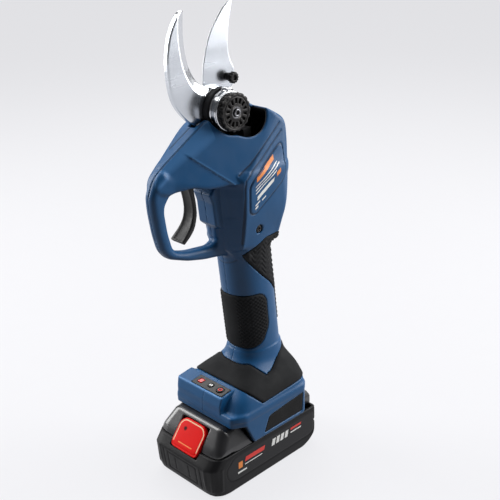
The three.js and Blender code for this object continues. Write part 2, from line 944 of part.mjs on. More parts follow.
function addPlanetaryGears() {
  const m = GEAR_MODULE;
  for (let i = 0; i < PLANETS; i++) {
    const r = (m * PLANET_TEETH) / 2;
    const phase = planetAngle(i) + Math.PI / PLANET_TEETH;
    const outlinePoints = wheel(PLANET_TEETH, r - m * 1.15, r + m * 0.8, 0.27, 0.09, phase);
    const x = PLANET_ORBIT * Math.cos(planetAngle(i));
    const y = PLANET_ORBIT * Math.sin(planetAngle(i));
    const gear = prismZ(
      outlinePoints.map(([u, v]) => [u + x, v + y]),
      GEARS_BOTTOM + 0.3,
      GEARS_TOP - 0.3,
    );
    const bore = barZ(1.75, GEARS_BOTTOM - 1, GEARS_TOP + 1, 12, x, y);
    add(`planet_gear_${i + 1}`, gear.subtract(bore), STEEL, drive);
  }
  const ringR = (m * RING_TEETH) / 2;
  const hole = wheel(RING_TEETH, ringR + m * 1.15, ringR - m * 0.8, 0.27, 0.09);
  const ringGear = cut(
    barZ(15.9, GEARS_BOTTOM - 1.5, -68, 28),
    prismZ(hole, GEARS_BOTTOM - 2, GEARS_TOP + 0.3),
    barZ(13.6, GEARS_TOP - 0.1, -67, 28),
  );
  add("ring_gear", ringGear, OXIDE, drive);
}

const MOTOR_TOP = -95;
const MOTOR_BOTTOM = -135;

function addMotor() {
  const sunR = (GEAR_MODULE * SUN_TEETH) / 2;
  const sun = wheel(SUN_TEETH, sunR - GEAR_MODULE * 1.15, sunR + GEAR_MODULE * 0.8, 0.27, 0.09);
  const shaft = join(
    prismZ(sun, GEARS_BOTTOM - 1, GEARS_TOP - 0.5),
    barZ(2.4, MOTOR_BOTTOM - 4, GEARS_BOTTOM - 0.9, 20),
  );
  add("motor_shaft", shaft, STEEL, drive);
  const core = cut(barZ(7.6, -128, -102, 24), barZ(2.5, -133, -90, 16));
  add("rotor_core", core, OXIDE, drive);
  const slots = Array.from({ length: 6 }, (_, i) => {
    const turn = new THREE.Matrix4().makeRotationZ((i * Math.PI) / 3);
    const slot = new THREE.BoxGeometry(3.6, 2.4, 40).translate(10.6, 0, -115);
    return solid(slot, turn);
  });
  const stator = cut(barZ(14, -129, -101, 28), barZ(8.1, -133, -90, 24), ...slots);
  add("stator", stator, COPPER, drive);
  const can = cut(
    barZ(15.7, MOTOR_BOTTOM, MOTOR_TOP, 28),
    barZ(14.3, MOTOR_BOTTOM - 1, MOTOR_TOP - 2.5, 28),
    barZ(4.2, MOTOR_TOP - 4, MOTOR_TOP + 1, 20),
  );
  add("motor_can", can, ALUMINIUM, drive);
  const bell = cut(
    barZ(15.6, MOTOR_BOTTOM - 4.5, MOTOR_BOTTOM - GAP, 32),
    barZ(2.7, MOTOR_BOTTOM - 6, MOTOR_BOTTOM + 1, 20),
  );
  add("motor_end_bell", bell, BLACK, drive);
  const plate = cut(
    barZ(15.9, MOTOR_TOP + GAP, GEARS_BOTTOM - 1.8, 28),
    barZ(3.2, -98, -80, 20),
    barX(1.75, -20, -11, 1.28, -91.9, 12),
    barX(1.75, 11, 20, 1.28, -91.9, 12),
  );
  add("motor_plate", plate, ALUMINIUM, drive);
}

// Trigger

function triggerSolid() {
  const front = smooth(
    [
      [-46.3, 257],
      [-44.6, 249],
      [-42.5, 240],
      [-42.1, 231],
      [-45.8, 221.5],
      [-55.2, 212.3],
    ],
    14,
  );
  const back = smooth(
    [
      [-52.8, 210],
      [-42.9, 218.3],
      [-38.6, 228],
      [-38.6, 238],
      [-40, 249],
      [-38.4, 256],
    ],
    12,
  );
  const blade = prismX([...front, ...back], -6, 6, 1, 1);
  const hub = barX(4, -6, 6, ...TRIGGER_PIN, 20);
  const tab = prismX(
    [
      [-45.8, 257],
      [-45.8, 266.5],
      [-42.4, 267.5],
      [-40, 260],
    ],
    -3,
    3,
  );
  return cut(join(blade, hub, tab), barX(1.75, -10, 10, ...TRIGGER_PIN, 16));
}

class Helix extends THREE.Curve {
  constructor(start, radius, length, turns) {
    super();
    Object.assign(this, { start, radius, length, turns });
  }
  getPoint(t, target = new THREE.Vector3()) {
    const angle = t * this.turns * 2 * Math.PI;
    return target.set(
      this.start.x + this.radius * Math.cos(angle),
      this.start.y + t * this.length,
      this.start.z + this.radius * Math.sin(angle),
    );
  }
}

function polygon(radius, sides) {
  return Array.from({ length: sides }, (_, i) => {
    const angle = (i * 2 * Math.PI) / sides;
    return [radius * Math.cos(angle), radius * Math.sin(angle)];
  });
}

function swept(path, radius, steps, sides = 6) {
  return solid(
    new THREE.ExtrudeGeometry(outline(polygon(radius, sides)), {
      steps,
      extrudePath: path,
      curveSegments: 1,
    }),
  );
}

function addTrigger() {
  add("trigger", triggerSolid(), BLACK);
  add("trigger_pin", barX(1.5, -7, 7, ...TRIGGER_PIN, 16), STEEL);
  const coil = new Helix(new THREE.Vector3(0, -63.5, 263.8), 2.5, 14.8, 5);
  add("trigger_spring", swept(coil, 0.4, 36), STEEL);
  add("trigger_sensor", box(-7.5, 7.5, -29.5, -27.9, 250, 262), BOARD);
}

// Controls on the foot

function addControls() {
  const panel = cut(
    panelZone(0, 74, 77),
    barZ(3.5, 70, 80, 20, ...POWER_BUTTON),
    barZ(2.7, 70, 80, 20, ...MODE_BUTTON),
    box(-14.2, -8.8, -31.2, -25.8, 70, 80),
  );
  add("control_panel", panel, BLACK);
  add("power_button", barZ(3.2, 73.8, 77.8, 20, ...POWER_BUTTON), BLACK);
  add("mode_button", barZ(2.4, 73.8, 77.6, 20, ...MODE_BUTTON), BLACK);
  add("status_lens", box(-13.9, -9.1, -30.9, -26.1, 74, 77.2), LENS);
  add("control_board", box(-27, 27, -26, 25.6, 61, 62.6), BOARD);
}

function motorLeads() {
  const leads = [-3.2, 0, 3.2].map((x) => {
    const path = new THREE.CatmullRomCurve3([
      new THREE.Vector3(x, 14.6, 156.6),
      new THREE.Vector3(x, 15.6, 146),
      new THREE.Vector3(x * 1.2, 12, 132),
      new THREE.Vector3(x * 1.2, 9, 112),
      new THREE.Vector3(x, 16, 90),
      new THREE.Vector3(x, 18, 69),
    ]);
    return swept(path, 1.3, 12, 6);
  });
  const plug = box(-6, 6, 14, 22, 63, 69.5);
  const strip = box(-5.2, 5.2, 12.4, 17.4, 156, 158);
  return join(...leads, plug, strip);
}

// Battery

function packSide(shrink) {
  return inset(
    [
      [-53, 0],
      [-59, 2],
      [-62, 6.5],
      [PACK_FRONT, 27],
      [-58.7, PACK_SPLIT - GAP / 2],
      [55, PACK_SPLIT - GAP / 2],
      [PACK_BACK, 30],
      [PACK_BACK, 12],
      [56, 8],
      [50, 3],
      [42, 0],
    ],
    shrink,
  );
}

function addPackLower() {
  const outside = prismX(packSide(0), -PACK_HALF, PACK_HALF, 3, 3);
  const inside = prismX(packSide(2.4), 2.4 - PACK_HALF, PACK_HALF - 2.4, 1, 1).add(
    box(-PACK_HALF + 2.6, PACK_HALF - 2.6, -50, 50.2, 20, 40),
  );
  const mouth = onSlope(BUTTON.half, GAP, 10, 16);
  add("battery_case_lower", cut(outside, inside, mouth), BLACK);
}

const BUTTON = { y0: -62.4, z0: 31, y1: -46.4, z1: 51.5, half: 15.5 };

// A block standing on the sloped shoulder: out and deep are measured square to the slope
function onSlope(half, grow, out, deep) {
  const along = new THREE.Vector2(BUTTON.y1 - BUTTON.y0, BUTTON.z1 - BUTTON.z0);
  along.normalize();
  const normal = new THREE.Vector2(-along.y, along.x);
  const corner = (end, height) => {
    const [y, z] = end ? [BUTTON.y1, BUTTON.z1] : [BUTTON.y0, BUTTON.z0];
    const reach = end ? grow : -grow;
    return [
      y + along.x * reach + normal.x * height,
      z + along.y * reach + normal.y * height,
    ];
  };
  return prismX(
    [corner(0, out), corner(1, out), corner(1, -deep), corner(0, -deep)],
    -half - grow,
    half + grow,
  );
}

function addPackUpper() {
  const z0 = PACK_SPLIT + GAP / 2;
  const shoulder = prismX(
    [
      [-58.4, z0],
      [-43.6, PACK_TOP],
      [-28, PACK_TOP],
      [-19, z0],
    ],
    -PACK_HALF,
    PACK_HALF,
    2,
    2,
  );
  const rails = box(-33, 33, -30, 37.8, z0, 43).add(box(-29, 29, -30, 37.8, z0, PACK_TOP));
  const groove = join(box(-34, -30.4, -18, 40, 43, 47), box(30.4, 34, -18, 40, 43, 47));
  const tail = prismX(
    [
      [37, z0],
      [50, z0],
      [50, 42],
      [43, 49.6],
      [37, 49.6],
    ],
    -31,
    31,
  );
  const hollow = join(
    box(-27, 27, -34, 35, z0 - 1, PACK_TOP - 2.4),
    prismX([[-53, z0 - 1], [-42, 48], [-34, 51], [-30, z0 - 1]], -31, 31),
  );
  const contacts = [-15, -7.5, 0, 7.5, 15].map((x) =>
    box(x - 1.6, x + 1.6, -12, 42, 49.8, 60),
  );
  const upper = cut(
    join(shoulder, rails, tail),
    groove,
    hollow,
    onSlope(BUTTON.half, GAP, 10, 16),
    ...contacts,
  );
  add("battery_case_upper", biggest(upper), BLACK);
}

function addReleaseButton() {
  add("release_button", onSlope(BUTTON.half, 0, 1.4, 3.4), RED);
  const along = new THREE.Vector2(BUTTON.y1 - BUTTON.y0, BUTTON.z1 - BUTTON.z0).normalize();
  const middle = [(BUTTON.y0 + BUTTON.y1) / 2, (BUTTON.z0 + BUTTON.z1) / 2];
  const coil = new Helix(new THREE.Vector3(0, 0, 0), 2.6, 5, 3);
  const turn = new THREE.Matrix4().makeRotationX(-Math.atan2(along.x, along.y));
  const seat = moved(0, middle[0] + along.y * 6.6, middle[1] - along.x * 6.6);
  const spring = new THREE.ExtrudeGeometry(outline(polygon(0.45, 6)), {
    steps: 26,
    extrudePath: coil,
    curveSegments: 1,
  });
  add("release_spring", solid(spring, seat.multiply(turn)), STEEL);
}

function addPackInside() {
  const rows = [-2, -1, 0, 1, 2].map((i) => i * CELL_PITCH);
  rows.forEach((y, i) => {
    const cell = barX(CELL_R, -CELL_LENGTH / 2, CELL_LENGTH / 2, y + 0.5, 13, 16);
    add(`cell_${i + 1}`, cell, CELL);
  });
  const holder = cut(
    box(-33.4, -26, -49, 49.9, 7, 24),
    ...rows.map((y) => barX(CELL_R + 0.4, -32.4, -20, y + 0.5, 13, 12)),
  );
  const other = cut(
    box(26, 33.4, -49, 49.9, 7, 24),
    ...rows.map((y) => barX(CELL_R + 0.4, 20, 32.4, y + 0.5, 13, 12)),
  );
  const tie = box(-33, 33, 49.7, 51.5, 14, 23);
  add("cell_holder", join(holder, other, tie), BLACK);
  add("battery_board", box(-25, 25, -25, 33, 40, 41.6), BOARD);
}

function addTerminals() {
  const block = join(
    box(-21, 21, -13, 29, FOOT_FLOOR + 0.6, FOOT_FLOOR + 4.6),
    ...[-15, -7.5, 7.5, 15].map((x) =>
      box(x - 0.5, x + 0.5, -8, 20, 50.4, FOOT_FLOOR + 1),
    ),
  );
  add("terminal_block", block, BLACK);
}

addHousing();
addPads();
addScrews();
addHookBlade();
addMovingBlade();
addPivotStack();
addGearCase();
addPinion();
addBearings();
addPlanetaryGears();
addMotor();
addTrigger();
addControls();
add("motor_leads", motorLeads(), { ...RED, color: 0x8a2020 });
addTerminals();
addPackLower();
addPackUpper();
addReleaseButton();
addPackInside();

export default root;
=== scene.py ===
import json
import math

import bpy
import numpy as np
import openvdb
from mathutils import Matrix, Vector


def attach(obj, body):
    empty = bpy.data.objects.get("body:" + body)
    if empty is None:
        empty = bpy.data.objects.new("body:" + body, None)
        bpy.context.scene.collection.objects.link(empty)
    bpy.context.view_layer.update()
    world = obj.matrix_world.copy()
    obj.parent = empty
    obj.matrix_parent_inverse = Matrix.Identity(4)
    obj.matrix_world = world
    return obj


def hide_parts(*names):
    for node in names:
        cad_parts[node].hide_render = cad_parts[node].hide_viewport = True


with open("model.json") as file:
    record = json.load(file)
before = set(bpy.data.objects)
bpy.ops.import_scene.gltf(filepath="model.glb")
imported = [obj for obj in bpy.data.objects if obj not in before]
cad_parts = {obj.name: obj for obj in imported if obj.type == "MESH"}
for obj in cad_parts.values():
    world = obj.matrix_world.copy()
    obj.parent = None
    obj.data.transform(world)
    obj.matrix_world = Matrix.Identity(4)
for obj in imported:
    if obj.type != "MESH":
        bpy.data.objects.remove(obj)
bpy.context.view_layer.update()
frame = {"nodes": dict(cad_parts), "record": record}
MM = 0.001

# ---- camera, floor and light

CAMERA_ANGLES = (45.79, 22.78, -1.69)  # azimuth, elevation and roll, in degrees
CAMERA_PLACE = (0.4770, -0.4440, 0.4609)
CAMERA_LENS = 64.9
LIGHT_AIM = Vector((0, 0, 0.2))
FLOOR_REACH = 6.0
FLOOR_DROP = 0.0004


def add_camera():
    turn, lift, roll = (math.radians(a) for a in CAMERA_ANGLES)
    back = Vector((math.sin(turn) * math.cos(lift), -math.cos(turn) * math.cos(lift), math.sin(lift)))
    right = Vector((math.cos(turn), math.sin(turn), 0))
    up = back.cross(right)
    rolled_right = right * math.cos(roll) + up * math.sin(roll)
    rolled_up = up * math.cos(roll) - right * math.sin(roll)
    data = bpy.data.cameras.new("camera")
    data.lens = CAMERA_LENS
    data.sensor_width = 36
    data.clip_start = 0.01
    camera = bpy.data.objects.new("camera", data)
    pose = Matrix((rolled_right, rolled_up, back)).transposed().to_4x4()
    pose.translation = CAMERA_PLACE
    camera.matrix_world = pose
    bpy.context.scene.collection.objects.link(camera)
    bpy.context.scene.camera = camera


def softbox(name, azimuth, elevation, distance, size, power):
    """A rectangular light that faces the middle of the tool."""
    a, e = math.radians(azimuth), math.radians(elevation)
    away = Vector((math.sin(a) * math.cos(e), -math.cos(a) * math.cos(e), math.sin(e)))
    data = bpy.data.lights.new(name, "AREA")
    data.shape = "RECTANGLE"
    data.size, data.size_y = size
    data.energy = power
    light = bpy.data.objects.new(name, data)
    light.location = LIGHT_AIM + away * distance
    light.rotation_euler = away.to_track_quat("Z", "Y").to_euler()
    bpy.context.scene.collection.objects.link(light)


def add_stage():
    world = bpy.data.worlds.new("studio")
    world.use_nodes = True
    background = world.node_tree.nodes["Background"]
    fill(background, {"Color": (0.88, 0.9, 0.93, 1), "Strength": 0.12})
    bpy.context.scene.world = world
    bpy.context.scene.view_settings.view_transform = "Standard"
    softbox("left_box", -62, 26, 1.1, (0.5, 1.2), 17)
    softbox("right_box", 148, 28, 1.1, (0.6, 1.2), 20)
    softbox("top_box", 240, 70, 1.3, (0.9, 0.9), 9)
    softbox("back_box", 225, 40, 1.3, (1.2, 0.8), 7)
    mesh = bpy.data.meshes.new("floor")
    corners = [(u * FLOOR_REACH, v * FLOOR_REACH, 0) for u, v in ((-1, -1), (1, -1), (1, 1), (-1, 1))]
    mesh.from_pydata(corners, [], [(0, 1, 2, 3)])
    floor = bpy.data.objects.new("floor", mesh)
    floor.location = (0, 0, -FLOOR_DROP)
    bpy.context.scene.collection.objects.link(floor)
    paper = look("floor_paper", (89.04, 89.04, 89.91), 0.9, specular=0.0, vary=0.01, grain=0.0)
    shader = paper.node_tree.nodes["Principled BSDF"]
    fill(shader, {"Emission Color": (0.93, 0.93, 0.96, 1), "Emission Strength": 0.8})
    mesh.materials.append(paper)
    floor.visible_diffuse = False


# ---- materials


def srgb(r, g, b):
    """A display colour, from 0 to 255, as the linear one that a shader takes."""

    def linear(c):
        c /= 255
        return c / 12.92 if c <= 0.04045 else ((c + 0.055) / 1.055) ** 2.4

    return tuple(linear(c) for c in (r, g, b))


def fill(node, values):
    for key, value in values.items():
        node.inputs[key].default_value = value


LOOKS = {}


def look(name, colour, rough, metal=0.0, vary=0.10, grain=0.25, grain_scale=1400.0, rough_vary=0.10,
         wear=None, coat=0.0, specular=0.5, brushed=None, tints=()):
    """A procedural finish, with colours as display values from 0 to 255.

    grain is the bump's height in tenths of a millimetre, and grain_scale how fine it is. wear is the colour
    that raised edges fade to. brushed stretches the grain along an axis. Each tint is a vertex attribute
    with the colour and roughness that it brings.
    """
    colour, wear = srgb(*colour), wear and srgb(*wear)
    material = bpy.data.materials.new(name)
    material.use_nodes = True
    nodes, links = material.node_tree.nodes, material.node_tree.links
    shader = nodes["Principled BSDF"]
    fill(shader, {"Metallic": metal, "Coat Weight": coat, "Coat Roughness": 0.12})
    fill(shader, {"Specular IOR Level": specular})
    position = nodes.new("ShaderNodeTexCoord").outputs["Object"]

    def noise(scale, detail=3.0, stretch=None):
        node = nodes.new("ShaderNodeTexNoise")
        fill(node, {"Scale": scale, "Detail": detail})
        source = position
        if stretch:
            mapping = nodes.new("ShaderNodeMapping")
            fill(mapping, {"Scale": stretch})
            links.new(position, mapping.inputs["Vector"])
            source = mapping.outputs["Vector"]
        links.new(source, node.inputs["Vector"])
        return node.outputs["Fac"]

    def ramp(value, low, high, out_low=0.0, out_high=1.0):
        node = nodes.new("ShaderNodeMapRange")
        fill(node, {"From Min": low, "From Max": high, "To Min": out_low, "To Max": out_high})
        links.new(value, node.inputs["Value"])
        return node.outputs["Result"]

    def mix(factor, a, b):
        node = nodes.new("ShaderNodeMix")
        node.data_type = "RGBA"
        links.new(factor, node.inputs["Factor"])
        for value, socket in ((a, node.inputs[6]), (b, node.inputs[7])):
            if isinstance(value, tuple):
                socket.default_value = (*value, 1)
            else:
                links.new(value, socket)
        return node.outputs[2]

    def blend(factor, a, b):
        node = nodes.new("ShaderNodeMix")
        links.new(factor, node.inputs["Factor"])
        for value, socket in ((a, node.inputs[2]), (b, node.inputs[3])):
            if isinstance(value, float):
                socket.default_value = value
            else:
                links.new(value, socket)
        return node.outputs[0]

    def product(a, b):
        node = nodes.new("ShaderNodeMath")
        node.operation = "MULTIPLY"
        links.new(a, node.inputs[0])
        links.new(b, node.inputs[1])
        return node.outputs[0]

    cloud = noise(45.0, 4.0)
    darker = tuple(c * (1 - vary) for c in colour)
    lighter = tuple(min(1.0, c * (1 + vary)) for c in colour)
    tone = mix(ramp(cloud, 0.3, 0.7), darker, lighter)
    patch = noise(110.0, 3.0, brushed)
    dull = ramp(patch, 0.3, 0.7, rough - rough_vary / 2, rough + rough_vary / 2)
    if wear:
        geometry = nodes.new("ShaderNodeNewGeometry")
        edge = ramp(geometry.outputs["Pointiness"], 0.53, 0.62)
        scuff = ramp(noise(260.0, 5.0), 0.42, 0.62)
        worn = product(edge, scuff)
        tone = mix(ramp(worn, 0.0, 1.0, 0.0, 0.55), tone, wear)
        dull = blend(ramp(worn, 0.0, 1.0, 0.0, 0.5), dull, max(0.15, rough - 0.15))
    for attribute, tint, tint_rough in tints:
        node = nodes.new("ShaderNodeAttribute")
        node.attribute_name = attribute
        tone = mix(node.outputs["Fac"], tone, srgb(*tint))
        dull = blend(node.outputs["Fac"], dull, tint_rough)
    links.new(tone, shader.inputs["Base Color"])
    links.new(dull, shader.inputs["Roughness"])
    if grain:
        height = noise(grain_scale, 2.0, brushed)
        bump = nodes.new("ShaderNodeBump")
        fill(bump, {"Strength": 0.6, "Distance": grain * 0.0001})
        links.new(height, bump.inputs["Height"])
        links.new(bump.outputs["Normal"], shader.inputs["Normal"])
    LOOKS[name] = material
    return material


def add_plastics():
    # In these finishes the groove tint is painted shade: a darker copy of the plastic laid into grooves and
    # panel lines.
    look(
        "housing_blue", (18, 76, 122), 0.42, specular=0.3, vary=0.07, grain=0.35, wear=(120, 160, 200),
        # the near-black tint is painted shade for the inside of the shell
        tints=[("shine", (92, 152, 214), 0.4), ("groove", (8, 20, 36), 0.6), ("inner_shade", (14, 15, 17), 0.5)],
    )
    look(
        "rubber_black", (22, 23, 25), 0.78, specular=0.2, vary=0.14, grain=1.2, grain_scale=900,
        wear=(70, 68, 66), tints=[("groove", (14, 14, 14), 0.9)],
    )
    look(
        "case_black", (16, 16, 18), 0.5, specular=0.2, vary=0.12, grain=0.5, wear=(70, 70, 74),
        tints=[("groove", (5, 5, 6), 0.7), ("band", (34, 34, 36), 0.5)],
    )
    look(
        "shoulder_black", (24, 24, 27), 0.36, vary=0.12, grain=0.35, wear=(90, 90, 95), coat=0.6,
        tints=[("groove", (8, 8, 9), 0.7)],
    )
    look(
        "button_red", (224, 16, 12), 0.5, specular=0.1, vary=0.06, grain=0.3, wear=(240, 110, 95),
        tints=[("trim", (240, 214, 176), 0.5), ("mark", (62, 18, 16), 0.6), ("line", (250, 150, 90), 0.4)],
    )
    look("panel_black", (13, 13, 15), 0.3, specular=0.3, vary=0.2, grain=0.05, coat=0.15)
    look("trigger_black", (17, 16, 16), 0.5, specular=0.3, vary=0.15, grain=0.5, wear=(90, 88, 86))
    look(
        "vent_black", (22, 22, 23), 0.7, specular=0.2, vary=0.15, grain=1.4, grain_scale=1100,
        wear=(66, 66, 68),
    )


def add_metals():
    look(
        "blade_steel", (196, 200, 206), 0.24, metal=1, vary=0.05, grain=0.12, grain_scale=900,
        brushed=(1, 0.12, 1), wear=(235, 236, 238), tints=[("ground", (222, 224, 228), 0.16)],
    )
    look("gear_steel", (150, 152, 156), 0.34, metal=1, grain=0.3, wear=(215, 216, 218))
    look("bright_steel", (205, 207, 211), 0.18, metal=1, vary=0.05, grain=0.1, wear=(240, 240, 242))
    look(
        "black_oxide", (40, 39, 39), 0.42, metal=0.85, vary=0.18, grain=0.5, wear=(150, 146, 142),
        tints=[("bright", (120, 120, 124), 0.3)],
    )
    # cast_aluminium is near black: painted shade for the gear case and motor parts seen inside the housing
    # through the pivot notch
    look("cast_aluminium", (34, 34, 36), 0.6, metal=0.5, vary=0.12, grain=0.9, grain_scale=700)
    look("bronze", (168, 128, 74), 0.35, metal=1, grain=0.4)
    look("copper_winding", (184, 108, 60), 0.34, metal=1, vary=0.15, grain=1.5, brushed=(1, 1, 8))


def add_plain_looks():
    for name, colour, rough, vary, grain, coat in (
        ("lens_red", (190, 24, 20), 0.12, 0.1, 0.05, 0.6),
        ("board_green", (26, 84, 50), 0.45, 0.18, 0.4, 0.3),
        ("cell_wrap", (48, 126, 98), 0.38, 0.08, 0.1, 0.3),
        ("wire_red", (170, 30, 26), 0.5, 0.1, 0.3, 0.0),
        ("print_orange", (238, 140, 60), 0.45, 0.05, 0.1, 0.0),
        ("print_white", (238, 238, 236), 0.45, 0.03, 0.1, 0.0),
        ("print_red", (222, 48, 38), 0.45, 0.05, 0.1, 0.0),
    ):
        look(name, colour, rough, vary=vary, grain=grain, coat=coat)


def dress_nodes():
    """Give every CAD node the finish that its record names."""
    finishes = {p["node"]: p["material_slot"] for p in frame["record"]["subparts"]}
    for name, node in frame["nodes"].items():
        for socket in node.material_slots:
            socket.link = "OBJECT"
            socket.material = LOOKS[finishes[name]]


# ---- signed distance fields, in millimetres

PROBE = 0.03  # step for measuring a field's slope


def corner_arcs(points, cut):
    """The outline with each corner rounded off, starting up to cut away from it."""
    result = []
    for i, point in enumerate(points):
        p = np.array(point, float)
        before = np.array(points[i - 1], float) - p
        after = np.array(points[(i + 1) % len(points)], float) - p
        la, lb = np.linalg.norm(before), np.linalg.norm(after)
        reach = min(cut, la * 0.45, lb * 0.45)
        a, b = p + before / la * reach, p + after / lb * reach
        for t in np.linspace(0, 1, 4):
            result.append((1 - t) ** 2 * a + 2 * t * (1 - t) * p + t * t * b)
    return result


def curve_through(points, steps):
    """A smooth curve through the points, with that many steps between neighbours."""
    p = np.array([points[0], *points, points[-1]], float)
    result = []
    for i in range(1, len(p) - 2):
        for t in np.arange(steps) / steps:
            a, b, c, d = p[i - 1], p[i], p[i + 1], p[i + 2]
            square = 2 * a - 5 * b + 4 * c - d
            cube = 3 * b - a - 3 * c + d
            result.append(0.5 * (2 * b + (c - a) * t + square * t * t + cube * t**3))
    return [*result, p[-1]]


def segment_square(a, b, u, v):
    """Squared distance to the straight line from a to b."""
    e = b - a
    t = unit(((u - a[0]) * e[0] + (v - a[1]) * e[1]) / (e @ e))
    return (u - a[0] - t * e[0]) ** 2 + (v - a[1] - t * e[1]) ** 2


def path_distance(points):
    """A function that gives the distance to an open path."""
    p = np.array(points, float)

    def distance(u, v):
        best = 1e9
        for a, b in zip(p[:-1], p[1:]):
            best = np.minimum(best, segment_square(a, b, u, v))
        return np.sqrt(best)

    return distance


class Outline:
    """Signed distance to a closed outline, negative inside, looked up in a table."""

    STEP = 0.4

    def __init__(self, points, cut=0.0, margin=14.0):
        p = np.array(corner_arcs(points, cut) if cut else points, float)
        self.low = p.min(0) - margin
        count = ((p.max(0) + margin - self.low) / self.STEP).astype(int) + 2
        u = (self.low[0] + self.STEP * np.arange(count[0]))[:, None]
        v = (self.low[1] + self.STEP * np.arange(count[1]))[None, :]
        best = np.full(count, 1e9)
        inside = np.zeros(count, bool)
        for a, b in zip(p, np.roll(p, -1, 0)):
            if (a == b).all():
                continue
            best = np.minimum(best, segment_square(a, b, u, v))
            if a[1] != b[1]:
                crossing = a[0] + (v - a[1]) * (b[0] - a[0]) / (b[1] - a[1])
                inside ^= ((a[1] <= v) != (b[1] <= v)) & (u < crossing)
        self.table = np.where(inside, -1, 1) * np.sqrt(best)

    def __call__(self, u, v):
        rows, columns = self.table.shape
        fu = np.clip((u - self.low[0]) / self.STEP, 0, rows - 1.001)
        fv = np.clip((v - self.low[1]) / self.STEP, 0, columns - 1.001)
        i, j = fu.astype(int), fv.astype(int)
        a, b = fu - i, fv - j
        t = self.table
        near = t[i, j] * (1 - a) + t[i + 1, j] * a
        far = t[i, j + 1] * (1 - a) + t[i + 1, j + 1] * a
        return near * (1 - b) + far * b


def smax(a, b, k):
    """The larger value, with the corner between them rounded over about k."""
    h = np.maximum(k - np.abs(a - b), 0) / k
    return np.maximum(a, b) + h * h * k * 0.25


def smin(a, b, k):
    return -smax(-a, -b, k)


def unit(value):
    return np.clip(value, 0, 1)


def slab(value, low, high):
    """The space between two planes."""
    return np.abs(value - (low + high) / 2) - (high - low) / 2


def block(x, y, z, low, high, k=0.6):
    return smax(smax(slab(x, low[0], high[0]), slab(y, low[1], high[1]), k), slab(z, low[2], high[2]), k)


def rod_x(y, z, middle, radius):
    """A round bar along X."""
    return np.hypot(y - middle[0], z - middle[1]) - radius


def rod_z(x, y, middle, radius):
    """A round bar along Z."""
    return np.hypot(x - middle[0], y - middle[1]) - radius


def notch_line(distance, width):
    """1 on a line, falling to 0 beside it."""
    return np.exp(-((distance / width) ** 2))


def oval(x, y, half, front, back, power):
    """A plan between an ellipse (power 2) and a rectangle, with how far across and along it a point is."""
    radius = (back - front) / 2
    u = np.abs(x) / half
    v = np.abs(y - (back + front) / 2) / radius
    size = (u**power + v**power) ** (1 / power)
    return (size - 1) * (half * u + radius * v) / (u + v + 1e-6), u, v


def mesh_object(name, places, faces, material):
    """A smooth-shaded object from points in millimetres."""
    mesh = bpy.data.meshes.new(name)
    places, faces = np.asarray(places, float), np.asarray(faces, np.int32)
    mesh.vertices.add(len(places))
    mesh.vertices.foreach_set("co", (places * MM).ravel())
    side = faces.shape[1]
    mesh.loops.add(faces.size)
    mesh.loops.foreach_set("vertex_index", faces.ravel())
    mesh.polygons.add(len(faces))
    mesh.polygons.foreach_set("loop_start", np.arange(0, faces.size, side, dtype=np.int32))
    mesh.update(calc_edges=True)
    mesh.validate()
    mesh.polygons.foreach_set("use_smooth", np.ones(len(mesh.polygons), bool))
    mesh.materials.append(LOOKS[material])
    piece = bpy.data.objects.new(name, mesh)
    bpy.context.scene.collection.objects.link(piece)
    return piece


def sculpt(name, field, low, high, voxel, material, body, nodes, paint=None):
    """The zero surface of a field, as a piece that rides a body and replaces CAD nodes.

    paint gives named values at each vertex, from 0 to 1.
    """
    step = voxel * 1.0
    reach = 3 * step
    axes = [np.arange(a - 2 * step, b + reach, step) for a, b in zip(low, high)]
    x, y, z = axes[0][:, None, None], axes[1][None, :, None], axes[2][None, None, :]
    values = np.broadcast_to(field(x, y, z), [len(a) for a in axes])
    values = np.clip(values, -reach, reach).astype(np.float32)
    grid = openvdb.FloatGrid(reach)
    grid.copyFromArray(np.ascontiguousarray(values))
    places, faces = grid.convertToQuads(isovalue=0.0)
    places = places.astype(float) * step + [a[0] for a in axes]
    # move the vertices onto the true surface, which sharpens what the grid has blurred
    for _ in range(3):
        here = field(*places.T)
        slopes = [(field(*(places + e).T) - here) / PROBE for e in np.eye(3) * PROBE]
        gradient = np.stack(slopes, 1)
        move = here / np.maximum((gradient**2).sum(1), 0.2)
        move = gradient * move[:, None]
        size = np.linalg.norm(move, axis=1)
        places -= move * np.minimum(1, 0.5 * step / np.maximum(size, 1e-9))[:, None]
    a, b, c = places[faces[:, 0]], places[faces[:, 1]], places[faces[:, 2]]
    if np.einsum("ij,ij->i", a, np.cross(b, c)).sum() < 0:
        faces = faces[:, ::-1]
    piece = mesh_object(name, places, faces, material)
    for key, values in (paint(*places.T) if paint else {}).items():
        layer = piece.data.attributes.new(key, "FLOAT", "POINT")
        layer.data.foreach_set("value", unit(values).astype(np.float32))
    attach(piece, body)
    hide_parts(*nodes)


# ---- housing

